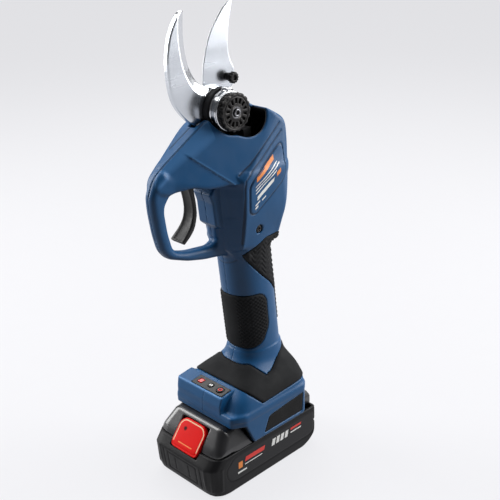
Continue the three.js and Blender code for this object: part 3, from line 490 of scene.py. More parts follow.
PIVOT = (-2.0, 300.0)
LEAN = 0.103  # how far the handle leans back, per millimetre of height
CREST = (-46, 282)  # a point on the crest, which rises towards the pivot
CREST_SLOPE = math.pi / 6
RIDGE_X = 0.4
FACET_FALL = 1.24  # how steeply the crest falls on its right-hand side
PIVOT_ROOM = ((-2.0, 300.5), 17.5)  # middle and radius of the space round the pivot stack
RIGHT_NOTCH = ((9, 298), 18)  # the same for the wider notch in the right-hand shell
TRIGGER_PIN = (-42, 258)
POWER_KEY = (11, -28.5)
MODE_KEY = (0, -28.5)
WALL = 2.5
PAD_GAP = 0.35
PAD_DEPTH = 1.5
SHELL_OVERLAP = 0.15
SCREW_HOLE = 1.8
HEAD_HOLE = 3.6
HEAD_SIDE = Outline(
    [(-27, 293), CREST, (-63, 272), (-73, 263), (-74, 255), (-66, 250), (-45, 252), (-34, 246.5),
     (-28, 241), (-23, 224), (-17, 206), (-13, 194), (33, 194), (36, 210), (41, 225), (45, 241), (47, 256),
     (47.3, 270), (46, 282), (42, 289.5), (34, 294.5), (13, 307)], 4)
HEAD_REAR = [(-40, 48), (13, 48), (21, 43), (25, 35), (26, 24), (26, -7)]
HEAD_PLAN = Outline([*HEAD_REAR, (23, -18), (15, -40), (8.5, -60), (6.5, -80), (-40, -80)], 3)
LOW_PLAN = Outline([*HEAD_REAR, (12.5, -15.5), (10, -18.5), (-40, -18.5)], 1.5)
HEAD_FRONT = Outline(
    [(-40, 185), (18, 185), (19, 190), (22.5, 208), (25, 225), (26, 240), (26, 254), (23, 262), (18.5, 290),
     (17.5, 312), (-40, 312)], 4)
BOSS_SIDE = Outline(
    [(-28.4, 242), (-25.6, 234.6), (-23.8, 217), (-20, 213.6), (0, 213), (0, 250), (-22, 250)], 0.8)
STEM_SIDE = Outline([(-21.5, 220), (-20, 206), (-14.6, 194.7), (0, 186), (0, 220)], 0.8)
GUARD = Outline(
    [(-66, 269), (-74, 262), (-78.5, 252), (-78, 240), (-75.5, 223), (-72, 209), (-66, 201.5), (-48, 194.5),
     (-32, 190.5), (-18, 188.5), (-4, 186), (-4, 206), (-17, 204), (-24, 199.3), (-47, 202), (-57, 205),
     (-61.5, 209), (-65, 222), (-67, 238), (-66.4, 243), (-61, 250), (-53, 255)], 4)
FOOT_PLAN = Outline([(-60, -38.3), (32.4, -38.3), (39, -27), (39, 41), (33, 48), (-60, 48)], 2)
CONSOLE = Outline([(-38.2, 60), (-38.2, 69), (-35.6, 76.5), (-20.5, 78.4), (-14, 73), (-14, 60)], 0.8)
LABEL = Outline([(-2, 225), (-2, 245), (1, 250), (35.5, 272), (35.5, 244.5), (3, 223)], 5)
PALM = Outline([(-30, 107), (5, 102.5), (14, 107), (20.5, 121), (18.3, 146), (12.5, 151.5), (-30, 152)], 4)
REAR = Outline(
    [(60, 200), (17, 199), (-4.5, 189), (5, 177), (15, 166), (24, 158), (33.5, 146), (36.5, 118), (60, 112)],
    2)
BUMPER = Outline(
    [(-6.5, 66.6), (-19.8, 79.9), (-29, 90), (0, 91), (8, 82), (16, 83.5), (30, 91), (45, 97), (60, 98),
     (60, 69.6)], 1.2)
VENT = Outline([(-7, 39.5), (-1, 52.5), (39.5, 56.5), (38, 39.5)], 1.2)
# height, half width, front, back, and how square the front and back are
FOOT_LEVELS = np.array(
    curve_through(
        [(60, 38.3, -37.3, 48, 8, 8), (67, 37.4, -33, 48, 6.5, 8), (74, 34.5, -27, 48, 6, 6),
         (80, 29.5, -19.5, 47.5, 5.5, 5), (86, 24, -11, 45.5, 4, 4), (92, 20.5, -5, 44, 2.8, 2.8),
         (100, 19, -1, 43.6, 2.2, 2.2)], 8))
FOOT_SLOPES = np.gradient(FOOT_LEVELS, FOOT_LEVELS[:, 0], axis=0)
# middle, head and tip of each housing screw
SCREWS = [
    ((34, 246), -24.6, 19.6),
    ((16.5, 124), -17.2, 12.2),
    ((31, 64.5), -37.6, 32.6),
    ((-32.5, 268), -16.6, 9.2),
]
CASE_SCREW = (8.7, 208.7)
PANEL_LINES = [
    path_distance([(-10, 255.5), (1, 261), (26, 279), (36, 286)]),
    path_distance([(-7, 251), (1, 257), (12, 263), (37, 280)]),
    path_distance([(-7, 251), (-7, 200)]),
]


def handle_middle(z):
    return 15.5 - LEAN * (z - 157)


def handle_field(x, y, z):
    middle = handle_middle(z)
    f, _, _ = oval(x, y, 19.0, middle - 22, middle + 22, 2.2)
    return np.maximum(np.maximum(f, 88 - z), z - 216)


def foot_top(x, y, z):
    heights = FOOT_LEVELS[:, 0]
    half, front, back, blunt, square = (np.interp(z, heights, FOOT_LEVELS[:, i]) for i in range(1, 6))
    ahead = y < (front + back) / 2
    f, u, v = oval(x, y, half, front, back, np.where(ahead, blunt, square))
    spread = -np.interp(z, heights, FOOT_SLOPES[:, 1])
    rise = np.where(ahead, 1, 0) * np.interp(z, heights, FOOT_SLOPES[:, 2])
    slope = (spread * u**2 + rise * v**2) / (u**2 + v**2 + 1e-6)
    f = f / np.sqrt(1 + slope**2)
    return np.maximum(np.maximum(f, 60 - z), z - 99)


def ridge_height(y, z):
    """Height above the crest's ridge, square to it."""
    return (z - CREST[1]) * math.cos(CREST_SLOPE) - (y - CREST[0]) * math.sin(CREST_SLOPE)


def crease_height(y, z):
    """Height above the plane where the nose cover ends."""
    return 0.655 * (y + 42.6) + 0.757 * (z - 274)


def roof(x, y, z):
    height = ridge_height(y, z)
    right = ((x - RIDGE_X) * FACET_FALL + height) / math.hypot(FACET_FALL, 1)
    left = (RIDGE_X - x) * 0.05 + height
    return smax(right, left, 0.8)


def head_field(x, y, z):
    ax = np.abs(x)
    shared = smax(HEAD_SIDE(y, z), HEAD_FRONT(ax, z), 4)
    # the flat that faces the front right
    plate = 0.922 * (x - 21) - 0.212 * (y + 15.8) + 0.323 * (z - 250.8) - 0.3
    plate = np.where(z > 240, plate, -20)
    # the nose cover steps out to the flat side along a slanted bevel
    bevel = 0.67 * (x - 25.3) - 0.435 * (y - 1) + 0.6 * (z - 257)
    flank = smax(smax(shared, HEAD_PLAN(ax, y), 3), smin(plate, bevel, 0.6), 1)
    top = roof(x, y, z)
    full = smax(flank, top, 0.8)
    keep = np.minimum(np.maximum(-crease_height(y, z), 249.6 - z), -7 - y)
    cover = smax(full, keep, 0.3)
    cheek = smax(smax(flank + 0.8 * unit(x / 3), top, 0.8), 249 - z, 4)
    shift = 4 * unit((238 - z) / 42)
    low = smax(shared, LOW_PLAN(ax, y - shift), 3)
    low = smax(smax(low, z - 256, 4), smin(plate, bevel, 0.6), 1)
    return np.minimum(cover, smin(cheek, low, 5))


def guard_field(x, y, z):
    return smax(GUARD(y, z), np.abs(x) - 5.6, 5)


def body_field(x, y, z):
    """The housing's outer surface before its grooves."""
    head = head_field(x, y, z)
    boss = smax(BOSS_SIDE(y, z), np.abs(x) - 10, 2.2)
    stem = smax(STEM_SIDE(y, z), np.abs(x) - 6 - 0.6 * np.clip(y + 20, 0, 20), 4)
    head = smin(smin(head, boss, 0.8), stem, 2)
    trunk = smin(head, handle_field(x, y, z), 7)
    base = smax(FOOT_PLAN(np.abs(x), y), slab(z, 35.6, 64), 2.5)
    foot = smin(foot_top(x, y, z), base, 2.5)
    # the console is a wedge that ends short of the right-hand corner
    wedge = smax(CONSOLE(y, z), slab(x, -33.5, 20), 1.2)
    wedge = smax(wedge, (-33.5 - x - (y + 38.2) * 0.9) * 0.74 + 1.5, 2)
    foot = smin(foot, wedge, 0.8)
    return smin(smin(trunk, foot, 4), guard_field(x, y, z), 2.5)


def groove_depth(x, y, z):
    ax = np.abs(x)
    panels = np.maximum.reduce([notch_line(line(y, z), 0.55) for line in PANEL_LINES])
    panels = np.maximum(panels, notch_line(LABEL(y, z) - 0.7, 0.6)) * (ax > 15)
    below_guard = notch_line(z - 180 - 0.03 * x * x, 0.7) * (y < -2) * (ax < 12)
    # two lines run down the crest, the outer one shorter
    ridge = 0.6 * notch_line(x - RIDGE_X, 0.5) * (y < -24)
    outer = notch_line(x + 8, 0.5) * (y < -26) * (y > -50)
    crest = np.maximum(ridge, outer) * (ridge_height(y, z) > -10.392)
    return np.maximum(np.maximum(panels, below_guard * 0.6), crest)


def crease_light(x, y, z):
    """Where the nose cover's edge, the console's edge and the crest's right-hand facet catch the light."""
    crease = notch_line(crease_height(y, z) - 0.2, 0.9) * (y < -7) * (z > 250) * (x > 7)
    wedge = notch_line(np.hypot(y + 36, z - 76.4), 1.0) * (np.abs(x + 6.7) < 26.4)
    off_facet = np.abs((x - RIDGE_X) * FACET_FALL + ridge_height(y, z))
    facet = unit(1 - off_facet / 1.6) * (x > 0.8) * (y < -20)
    return np.maximum(np.maximum(crease, wedge), 0.42 * facet)


def skin_field(x, y, z):
    """The housing's outer surface with its grooves and the raised label panel."""
    raised = unit(-LABEL(y, z) / 0.8 + 0.5) * (np.abs(x) > 20)
    return body_field(x, y, z) - 0.45 * raised + 0.55 * groove_depth(x, y, z)


def foot_mouth(x, y, z):
    """The space in the foot that the battery slides into."""
    slideway = block(x, y, z, (-33.4, -70, 20), (33.4, 38.4, 54.6), 0.5)
    under = block(x, y, z, (-33.4, 30, 20), (33.4, 70, 50.6), 0.5)
    # the slanted front edges of the two cheeks
    cheek = np.maximum(np.maximum(y + 27 - (54.6 - z) * 0.47, z - 54.6), -(y + 70))
    return np.minimum(np.minimum(slideway, under), cheek)


def hollow_field(x, y, z, skin):
    """The inside of the housing, apart from the screw posts and the band round the pivot."""
    inside = skin + np.interp(z, [60, 66, 88, 94], [WALL, 4.2, 4.2, WALL])
    inside = np.maximum(inside, -56 - y)
    inside = np.maximum(inside, 57 - z)
    band = np.maximum(rod_x(y, z, *PIVOT_ROOM) - 1.9, np.where(x > 0, 14.8, 19.6) - np.abs(x))
    inside = np.maximum(inside, -band)
    for middle, _, _ in SCREWS:
        inside = np.maximum(inside, -rod_x(y, z, middle, 4.4))
    ears = np.maximum(rod_x(y, z, CASE_SCREW, 5), 16.3 - np.abs(x))
    return np.maximum(inside, -ears)


def cut_openings(f, x, y, z, skin):
    """Take out the pivot's room, the battery's mouth, and the blade, trigger, terminal and spring slots."""
    f = smax(f, -rod_x(y, z, *PIVOT_ROOM), 1.2)
    # the right-hand shell's notch reaches further back, and is open at the top
    notch = np.minimum(rod_x(y, z, *RIGHT_NOTCH), np.maximum(slab(y, -9, 27), 298 - z))
    f = smax(f, -np.maximum(notch, 0.5 - x), 1.2)
    f = smax(f, -foot_mouth(x, y, z), 0.7)
    f = smax(f, -block(x, y, z, (-11.4, -28.5, 282), (-3.6, -14, 304), 1), 0.8)
    f = smax(f, -block(x, y, z, (-6.7, -52, 241), (6.7, -30.6, 258), 1), 0.8)
    f = smax(f, -block(x, y, z, (-22, -14, 50), (22, 30, 60), 1), 0.6)
    f = smax(f, -np.maximum(block(x, y, z, (-4.9, -50, 257), (4.9, -44, 268), 1), skin + 1), 0.6)
    spring = smax(np.hypot(x, z - 263.8) - 3.3, slab(y, -66, -48), 0.5)
    return smax(f, -np.maximum(spring, skin + 1), 0.5)


def cut_holes(f, x, y, z, skin):
    """Take out the screw holes and the trigger pin's hole."""
    ax = np.abs(x)
    for middle, head, _ in SCREWS:
        wide = np.maximum(rod_x(y, z, middle, HEAD_HOLE), x - head - 2.4)
        narrow = np.maximum(rod_x(y, z, middle, SCREW_HOLE), slab(x, head - 1, -head - 4))
        f = smax(f, -np.minimum(wide, np.maximum(narrow, skin + 1.8)), 0.5)
    wide = np.maximum(rod_x(y, z, CASE_SCREW, HEAD_HOLE), 20.2 - ax)
    f = smax(f, -np.minimum(wide, rod_x(y, z, CASE_SCREW, SCREW_HOLE)), 0.7)
    return smax(f, -np.maximum(rod_x(y, z, TRIGGER_PIN, 1.75), ax - 8), 0.4)


def cut_recesses(f, x, y, z):
    """Take out the beds of the pads and vents, the control panel's seat and the holes for its keys."""
    body = body_field(x, y, z)
    for zone in (PALM, REAR, BUMPER):
        f = smax(f, -np.maximum(zone(y, z) - PAD_GAP, -(body + PAD_DEPTH)), 0.6)
    f = smax(f, -np.maximum(VENT(y, z) - PAD_GAP, 36.9 - np.abs(x)), 0.5)
    f = smax(f, -block(x, y, z, (-18.2, -34.2, 73.6), (18.2, -22.8, 82), 0.6), 0.5)
    keys = np.minimum(rod_z(x, y, POWER_KEY, 3.6), rod_z(x, y, MODE_KEY, 2.8))
    return smax(f, -np.maximum(keys, slab(z, 70, 76)), 0.4)


def housing_field(x, y, z):
    skin = skin_field(x, y, z)
    f = np.maximum(skin, -hollow_field(x, y, z, skin))
    f = cut_openings(f, x, y, z, skin)
    f = cut_holes(f, x, y, z, skin)
    return cut_recesses(f, x, y, z)


def paint_housing(x, y, z):
    depth = -body_field(x, y, z)
    notch = np.minimum(rod_x(y, z, *RIGHT_NOTCH), rod_x(y, z, *PIVOT_ROOM))
    cup = (np.abs(notch) < 1) * (depth - 0.7) / 0.4
    return {
        # painted shade along the grooves, panel lines and label outline
        "groove": groove_depth(x, y, z) * 0.85,
        "shine": crease_light(x, y, z) * 0.7,
        # painted shade: the shell's inside, deeper than 1.9 mm under the outer skin, and the walls of the
        # pivot notches turn near black
        "inner_shade": np.maximum((depth - 1.9) / 0.6, cup),
    }


def add_housing():
    for side, name in ((1, "right"), (-1, "left")):
        low, high = ((0, 40), (-40, 0))[side < 0]

        def shell(x, y, z):
            return smax(housing_field(x, y, z), -SHELL_OVERLAP - side * x, 0.1)

        sculpt(f"housing_shell_{name}", shell, (low, -80, 34), (high, 49, 309), 0.75, "housing_blue",
               "handle", [f"housing_{name}"], paint=paint_housing)


def pad_field(zone, rise, texture):
    """A rubber pad that follows the body inside a zone of its side view, crowned from its edge inwards."""

    def field(x, y, z):
        body = body_field(x, y, z)
        edge = zone(y, z)
        bulge = rise * np.clip(-edge / 1.5, 0.2, 1) + texture(x, y, z) * unit(-edge / 2 - 0.3)
        return smax(smax(body - bulge, -(body + 1.2), 0.5), edge, 0.8)

    return field


def palm_texture(x, y, z):
    around = np.arctan2(x / 19, -(y - handle_middle(z)) / 22) * 20
    column = np.cos(around * 2 * np.pi / 3.4)
    row = np.cos(z * 2 * np.pi / 3.4)
    studs = 0.32 * np.clip(column * row * 2, -1, 1) * (np.abs(around) > 8) * (np.abs(around) < 32)
    return studs - 0.25 * notch_line(np.abs(around) - 17.5, 0.8)


def rear_texture(x, y, z):
    waves = z + 2.2 * np.sin(y * 0.55 + x * 0.2) + y * 0.35
    return 0.3 * np.sin(waves * 2 * np.pi / 4.2)


def smooth(x, y, z):
    return 0.0


def add_pads():
    for name, field, low, high, voxel, node in (
        ("palm_pad", pad_field(PALM, 0.8, palm_texture), (-20, -10, 101), (20, 24, 153), 0.6, "palm_grip"),
        ("rear_pad", pad_field(REAR, 0.6, rear_texture), (-27, -8, 111), (27, 50, 202), 0.75, "rear_grip"),
        ("foot_pad", pad_field(BUMPER, 0.8, smooth), (-39, -26, 65), (39, 50, 99), 0.75, "foot_bumper"),
    ):
        sculpt(name, field, low, high, voxel, "rubber_black", "handle", [node])
    for side, name in ((1, "right"), (-1, "left")):

        def vent(x, y, z):
            edge = VENT(y, z)
            weave = 0.22 * np.cos((y + z) * 2 * np.pi / 2.4) * np.cos((y - z) * 2 * np.pi / 2.4)
            skin = side * x - 38.8 - weave * unit(-edge / 1.5)
            return smax(smax(skin, 37.1 - side * x, 0.4), edge, 0.8)

        low, high = ((36.5, 40), (-40, -36.5))[side < 0]
        sculpt(f"vent_mesh_{name}", vent, (low, -9, 38), (high, 41, 58), 0.5, "vent_black", "handle",
               [f"vent_{name}"])


# ---- cutting head

HOOK_FACES = (-10, -5)
KNIFE_FACES = (-14.3, -10.3)
BOLT_HOLE = 5.2
HEEL_PINS = [(-12.5, 283.4), (-1.5, 280.4)]
KNOB = (12, 321)
HOOK_OUTER = curve_through(
    [(-27.5, 73.5), (-30.5, 74.3), (-36, 70), (-42.5, 59), (-46, 44), (-46.3, 30), (-43.5, 14), (-37, 3),
     (-29, -5), (-22.5, -9.5), (-19, -8)], 3)
HOOK_INNER = curve_through(
    [(-8.5, 17.3), (-15.5, 20.5), (-21, 26.5), (-26, 37), (-28.5, 52), (-28.3, 66), (-27.5, 73.5)], 4)
KNIFE_EDGE = curve_through(
    [(19.5, 76.5), (17, 75.5), (10, 69.5), (1, 59), (-4.5, 49), (-8.5, 37), (-10.5, 26), (-11, 16)], 3)
KNIFE_SPINE = curve_through(
    [(19, 13.5), (21.5, 20), (21, 27), (17.5, 34), (16, 44), (17.3, 58), (20.3, 70), (20.8, 75.3)], 3)


def arc(radius, start, end, count):
    return [(radius * math.cos(math.radians(a)), radius * math.sin(math.radians(a)))
            for a in np.linspace(start, end, count)]


def about_pivot(points):
    return [(u + PIVOT[0], v + PIVOT[1]) for u, v in points]


def polar(y, z, middle=PIVOT):
    """Distance from a line along X, and the turn about it."""
    u, v = y - middle[0], z - middle[1]
    return np.hypot(u, v), np.arctan2(v, u)


def knurl(turn, count, depth, sharpness=2.0):
    return depth * np.clip(np.cos(turn * count) * sharpness, -1, 1)


def add_blades():
    hook = Outline(about_pivot([*HOOK_OUTER, *arc(16.8, 205, 460, 24), *HOOK_INNER[:-1]]))
    inner = path_distance(about_pivot(HOOK_INNER))

    def hook_field(x, y, z):
        grind = np.clip(7.5 - inner(y, z), 0, 7.5) * 0.42 * (rod_x(y, z, PIVOT, 17.5) > 0)
        plate = smax(slab(x, *HOOK_FACES), x - HOOK_FACES[1] + grind, 0.5)
        f = smax(plate, hook(y, z), 1.0)
        return np.maximum(f, -rod_x(y, z, PIVOT, BOLT_HOLE))

    def hook_paint(x, y, z):
        return {"ground": unit(7.6 - inner(y, z)) * (x > -9.5)}

    sculpt("hook_knife", hook_field, (-10.2, -50, 288), (-4.8, 16, 376), 0.45, "blade_steel", "handle",
           ["hook_blade"], paint=hook_paint)

    heel = [*arc(15, 130, 250, 12), (-19, -21), (-15, -25), (5, -28), (7, -13.5), *arc(15, -55, 40, 10)]
    knife = Outline(about_pivot([*KNIFE_EDGE, *heel, *KNIFE_SPINE]))
    edge = path_distance(about_pivot(KNIFE_EDGE))

    def knife_field(x, y, z):
        grind = np.clip(9 - edge(y, z), 0, 9) * 0.36 * (rod_x(y, z, PIVOT, 16) > 0)
        plate = smax(slab(x, *KNIFE_FACES), KNIFE_FACES[0] + grind - x, 0.4)
        f = smax(plate, knife(y, z), 0.8)
        f = np.maximum(f, -rod_x(y, z, PIVOT, 7.2))
        for pin in HEEL_PINS:
            f = np.maximum(f, -rod_x(y, z, pin, 2.2))
        return f

    def knife_paint(x, y, z):
        return {"ground": unit(9.2 - edge(y, z)) * (x < -10.6)}

    sculpt("moving_knife", knife_field, (-14.5, -24, 270), (-10.1, 21, 378), 0.45, "blade_steel",
           "moving_blade", ["moving_blade"], paint=knife_paint)


def add_pivot():
    def disc(x, y, z):
        r, turn = polar(y, z)
        f = smax(slab(x, 9.7, 12.9), r - 14.2 - knurl(turn, 18, 0.35, 2.5), 0.9)
        ring = np.maximum(slab(r, 6.9, 10.6), 11.3 - x)
        slots = (np.abs(np.mod(turn * 14 / (2 * np.pi), 1) - 0.5) - 0.24) * r * 2 * np.pi / 14
        f = smax(f, -np.maximum(ring, slots), 0.4)
        f = smax(f, -np.maximum(slab(r, 11.5, 12.0), 12.5 - x), 0.3)
        hub = smax(slab(r, 3.2, 5.6), slab(x, 10, 13.0), 0.4)
        return smax(np.minimum(f, hub), 3.2 - r, 0.3)

    def disc_paint(x, y, z):
        r, _ = polar(y, z)
        return {"bright": unit(1 - np.abs(r - 3.9) / 0.8) * (x > 12)}

    sculpt("lock_disc_toothed", disc, (9.5, -17, 285), (13.2, 13, 315), 0.35, "black_oxide", "handle",
           ["lock_disc"], paint=disc_paint)

    def lock_ring(x, y, z):
        r, turn = polar(y, z)
        rim = r - 14.1 - knurl(turn, 36, 0.25)
        return smax(smax(slab(x, 7.7, 9.4), rim, 0.5), BOLT_HOLE - r, 0.3)

    sculpt("lock_ring_knurled", lock_ring, (7.5, -17, 285), (9.6, 13, 315), 0.35, "black_oxide", "handle",
           ["lock_ring"])

    def spacer(x, y, z):
        r, _ = polar(y, z)
        rim = r - 15 + 0.7 * notch_line(x - 0.9, 0.5) + 0.5 * notch_line(x - 5.9, 0.35)
        f = smax(slab(x, -0.7, 7.4), rim, 0.8)
        lug = block(x, y, z, (-0.6, -4.4, 310), (5.9, 0.4, 317), 0.8)
        teeth = 0.3 * np.cos((x - 1) * np.pi) * (z > 315.5)
        return smax(smin(f, lug + teeth, 1.0), BOLT_HOLE - r, 0.3)

    sculpt("spacer_turned", spacer, (-0.9, -18, 284), (7.6, 14, 318), 0.42, "bright_steel", "handle",
           ["spacer_ring"])

    def bolt(x, y, z):
        r, turn = polar(y, z)
        hexagon = np.maximum.reduce([np.abs(r * np.cos(turn - a)) for a in (0.52, 1.57, 2.62)]) - 6.8
        head = smax(smax(slab(x, -18.5, -14.7), hexagon, 0.8), r - 7.9 - (x + 18.5) * 1.2, 0.8)
        shank = smax(slab(x, -15, 9.4), r - 5, 0.4)
        end = smax(slab(x, 9, 14.4), r - 3, 0.8)
        socket = np.maximum(hexagon + 5.2, 13.2 - x)
        return smax(np.minimum(np.minimum(head, shank), end), -socket, 0.3)

    def bolt_paint(x, y, z):
        return {"bright": unit(x - 13.2)}

    sculpt("pivot_bolt_hex", bolt, (-18.7, -11, 291), (14.6, 7, 309), 0.4, "black_oxide", "handle",
           ["pivot_bolt"], paint=bolt_paint)

    def knob(x, y, z):
        r, turn = polar(y, z, KNOB)
        head = smax(slab(x, -6.2, -2.3), r - 4.1 - knurl(turn, 12, 0.25), 0.9)
        head = smax(head, -np.maximum(r - 1.9, -3.6 - x), 0.4)
        return np.minimum(head, smax(slab(x, -10, -6), r - 3, 0.3))

    sculpt("heel_knob", knob, (-10.2, 7, 316), (-2.1, 17, 326), 0.3, "black_oxide", "moving_blade",
           ["heel_screw"])


def screw_field(head, tip, middle, radius):
    sign = 1.0 if tip > head else -1.0

    def field(x, y, z):
        r, turn = polar(y, z, middle)
        u, v = np.abs(y - middle[0]), np.abs(z - middle[1])
        along = (x - head) * sign
        crown = smax(smax(r - radius, along - 2, 0.3), r * r * 0.06 - along, 0.5)
        arms = np.minimum(np.maximum(u - 0.5, v - 1.7), np.maximum(v - 0.5, u - 1.7))
        crown = smax(crown, -np.maximum(arms, along - 1.3), 0.2)
        thread = 0.12 * np.cos(along * 2 * np.pi / 1.2 + turn)
        shank = smax(slab(along, 1.8, abs(tip - head)), r - 1.38 - thread, 0.3)
        return np.minimum(crown, shank)

    return field


def add_screws():
    for i, (middle, head, tip) in enumerate(SCREWS):
        add_screw(f"shell_screw_{i + 1}", head, tip, middle, 3.0, f"housing_screw_{i + 1}")
    add_screw("case_screw_head_right", 22.6, 12.6, CASE_SCREW, 3.1, "case_screw_right")
    add_screw("case_screw_head_left", -22.6, -12.6, CASE_SCREW, 3.1, "case_screw_left")


def add_screw(name, head, tip, middle, radius, node):
    reach = radius + 0.3
    low = (min(head, tip) - 0.3, middle[0] - reach, middle[1] - reach)
    high = (max(head, tip) + 0.3, middle[0] + reach, middle[1] + reach)
    sculpt(name, screw_field(head, tip, middle, radius), low, high, 0.3, "black_oxide", "handle", [node])


# ---- trigger and controls


def add_trigger():
    front = curve_through(
        [(-46.3, 257), (-44.6, 249), (-42.5, 240), (-42.1, 231), (-45.8, 221.5), (-55.2, 212.3)], 3)
    back = curve_through(
        [(-52.8, 210), (-42.9, 218.3), (-38.6, 228), (-38.6, 238), (-40, 249), (-38.4, 256)], 3)
    lever = Outline([*front, *back])
    tab = Outline([(-45.8, 255), (-45.8, 266.5), (-42.4, 267.5), (-40, 258)])
    face = path_distance(front)

    def field(x, y, z):
        ax = np.abs(x)
        # the pull face is dished across its width, with a rim on each side
        dish = 0.9 * unit(1 - (ax / 4.6) ** 2) * unit(1.6 - face(y, z))
        dish = dish * (z < 250) * (z > 213)
        half = 6 + 1.2 * unit((226 - z) / 12)
        f = smax(lever(y, z) + dish, ax - half, 1.6)
        hub = smax(rod_x(y, z, TRIGGER_PIN, 4), ax - 6, 0.8)
        f = smin(f, hub, 1.5)
        f = np.minimum(f, smax(tab(y, z), ax - 3, 0.5))
        return np.maximum(f, -rod_x(y, z, TRIGGER_PIN, 1.75))

    sculpt("trigger_lever", field, (-7.4, -56, 208), (7.4, -36, 268), 0.5, "trigger_black", "trigger",
           ["trigger"])


def add_controls():
    def plate(x, y, z):
        f = block(x, y, z, (-18, -34, 74), (18, -23, 79.5), 0.7)
        f = smax(f, (z - 77.1 - (y + 34) * 0.128) * 0.99, 0.5)
        wells = np.minimum(rod_z(x, y, POWER_KEY, 3.5), rod_z(x, y, MODE_KEY, 2.7))
        lens = block(x, y, z, (-14.2, -31.2, 70), (-8.8, -25.8, 80), 0.5)
        return smax(f, -np.minimum(wells, lens), 0.4)

    sculpt("panel_glossy", plate, (-18.2, -34.2, 73.8), (18.2, -22.8, 79.4), 0.35, "panel_black", "handle",
           ["control_panel"])

    def button(middle, radius, top):
        def field(x, y, z):
            rim = rod_z(x, y, middle, radius)
            dish = 0.25 * unit(1 - ((rim + radius) / (radius * 0.7)) ** 2)
            return smax(rim, slab(z, 73.8, top) + dish * (z > 76), 0.5)

        return field

    sculpt("power_key", button(POWER_KEY, 3.2, 78.3), (7.6, -31.9, 73.6), (14.4, -25.1, 78.5), 0.25,
           "panel_black", "power_button", ["power_button"])
    sculpt("mode_key", button(MODE_KEY, 2.4, 78.2), (-2.6, -31.1, 73.6), (2.6, -25.9, 78.4), 0.25,
           "panel_black", "mode_button", ["mode_button"])

    def lens(x, y, z):
        dome = z - 78.1 + 0.02 * (x + 11.5) ** 2
        return smax(block(x, y, z, (-13.9, -30.9, 74), (-9.1, -26.1, 78.1), 0.6), dome, 0.3)

    sculpt("status_light", lens, (-14.1, -31.1, 73.8), (-8.9, -25.9, 78.2), 0.25, "lens_red", "handle",
           ["status_lens"])
    ring_mark("power_mark", POWER_KEY, 1.3, 1.9, 78.3, "print_red", "power_button")
    for i, left in enumerate((-1.5, 0.4)):
        plan = [(left, -29.6), (left + 1.1, -29.6), (left + 1.1, -27.4), (left, -27.4)]
        bar(f"mode_mark_{i + 1}", [(x, y, 78.18) for x, y in plan], "print_white", "mode_button")


def ring_mark(name, middle, inner, outer, height, material, body):
    count = 40
    turns = np.linspace(0, 2 * np.pi, count, endpoint=False)
    circle = np.stack([np.cos(turns), np.sin(turns)], 1)
    places = [(*(middle + r * spoke), height) for r in (inner, outer) for spoke in circle]
    faces = [(i, i + count, (i + 1) % count + count, (i + 1) % count) for i in range(count)]
    piece = mesh_object(name, places, faces, material)
    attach(piece, body)


def bar(name, corners, material, body):
    piece = mesh_object(name, corners, [(0, 1, 2, 3)], material)
    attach(piece, body)


# ---- battery

SLOPE_FOOT = (-62.4, 31)
SLOPE_ALONG = (0.6153, 0.7883)
SLOPE_LENGTH = 26.0
FLANK = 37.3
SPLIT = 35.15  # height where the upper case begins
FRONT_POSTS = [(33, -61, 1.3), (36.8, -54, 1.2), (27, -64, 1.2)]  # across, along, width
PACK_SIDE = Outline(
    [(-57, 0), (-61.5, 2), (-63, 6.5), (-65.5, 27), (-58.7, 35), (-58.7, 40), (55, 40), (59.5, 30),
     (59.5, 12), (56, 8), (50, 3), (42, 0)], 2.5)
PACK_PLAN = Outline(
    [(-60, -65.5), (22, -65.5), (27.5, -65.1), (33, -62.8), (36.4, -58.5), (FLANK, -53), (FLANK, 55),
     (35.5, 58), (31, 59.5), (-60, 59.5)], 1.5)
SHOULDER = Outline([(-58.6, 33), (-58.4, 35.2), (-43.6, 54.2), (-28, 54.2), (-19, 35), (-19, 33)], 2)
BAND = Outline(
    [(-44, 11), (-48, 16), (-49, 23), (-40, 31), (53, 31), (55, 28), (55, 13), (50, 9.5), (-38, 9.5)], 3)
BUTTON_FACE = Outline([(-15.5, 0), (15.5, 0), (15.5, 21), (10.5, 26), (-10.5, 26), (-15.5, 21)], 4)


def on_slope(y, z):
    """Distance along the shoulder's slope, and height square to it."""
    dy, dz = y - SLOPE_FOOT[0], z - SLOPE_FOOT[1]
    return dy * SLOPE_ALONG[0] + dz * SLOPE_ALONG[1], dz * SLOPE_ALONG[0] - dy * SLOPE_ALONG[1]


def button_mouth(x, y, z):
    along, height = on_slope(y, z)
    return np.maximum(np.maximum(np.abs(x) - 15.8, slab(along, -0.3, SLOPE_LENGTH + 0.3)), -16 - height)


def pack_grooves(x, y, z):
    ax = np.abs(x)
    side = (ax > 36) * 1.0
    edge = notch_line(BAND(y, z) - 0.4, 0.5) * side
    ridges = notch_line(z - 33.2, 0.45) * side * (y > -50)
    face = (y < -60.5) * 1.0
    relief = notch_line(np.maximum(ax - 17, np.abs(z - 16.5) - 8), 0.6) * face
    ribs = notch_line(ax - 22, 0.6) * face * (np.abs(z - 16) < 10)
    inner = notch_line(ax - 8, 0.5) * face * (np.abs(z - 16.5) < 6)
    return np.maximum.reduce([edge, ridges, relief, ribs, inner])


def lower_outside(x, y, z):
    ax = np.abs(x)
    shift = np.interp(z, [0, 2, 6.5, 27, 35], [8.5, 4, 2.5, 0, 6]) * unit(-y / 40)
    f = smax(PACK_SIDE(y, z), PACK_PLAN(ax, y - shift), 2.0)
    posts = [notch_line(np.hypot(ax - across, y - along), width) for across, along, width in FRONT_POSTS]
    f = f - 0.7 * np.maximum.reduce(posts) * (z > 6) * (z < 27) + 0.5 * pack_grooves(x, y, z)
    back_groove = notch_line(z - 20, 1.2) * (y > 55)
    return f + 0.9 * back_groove


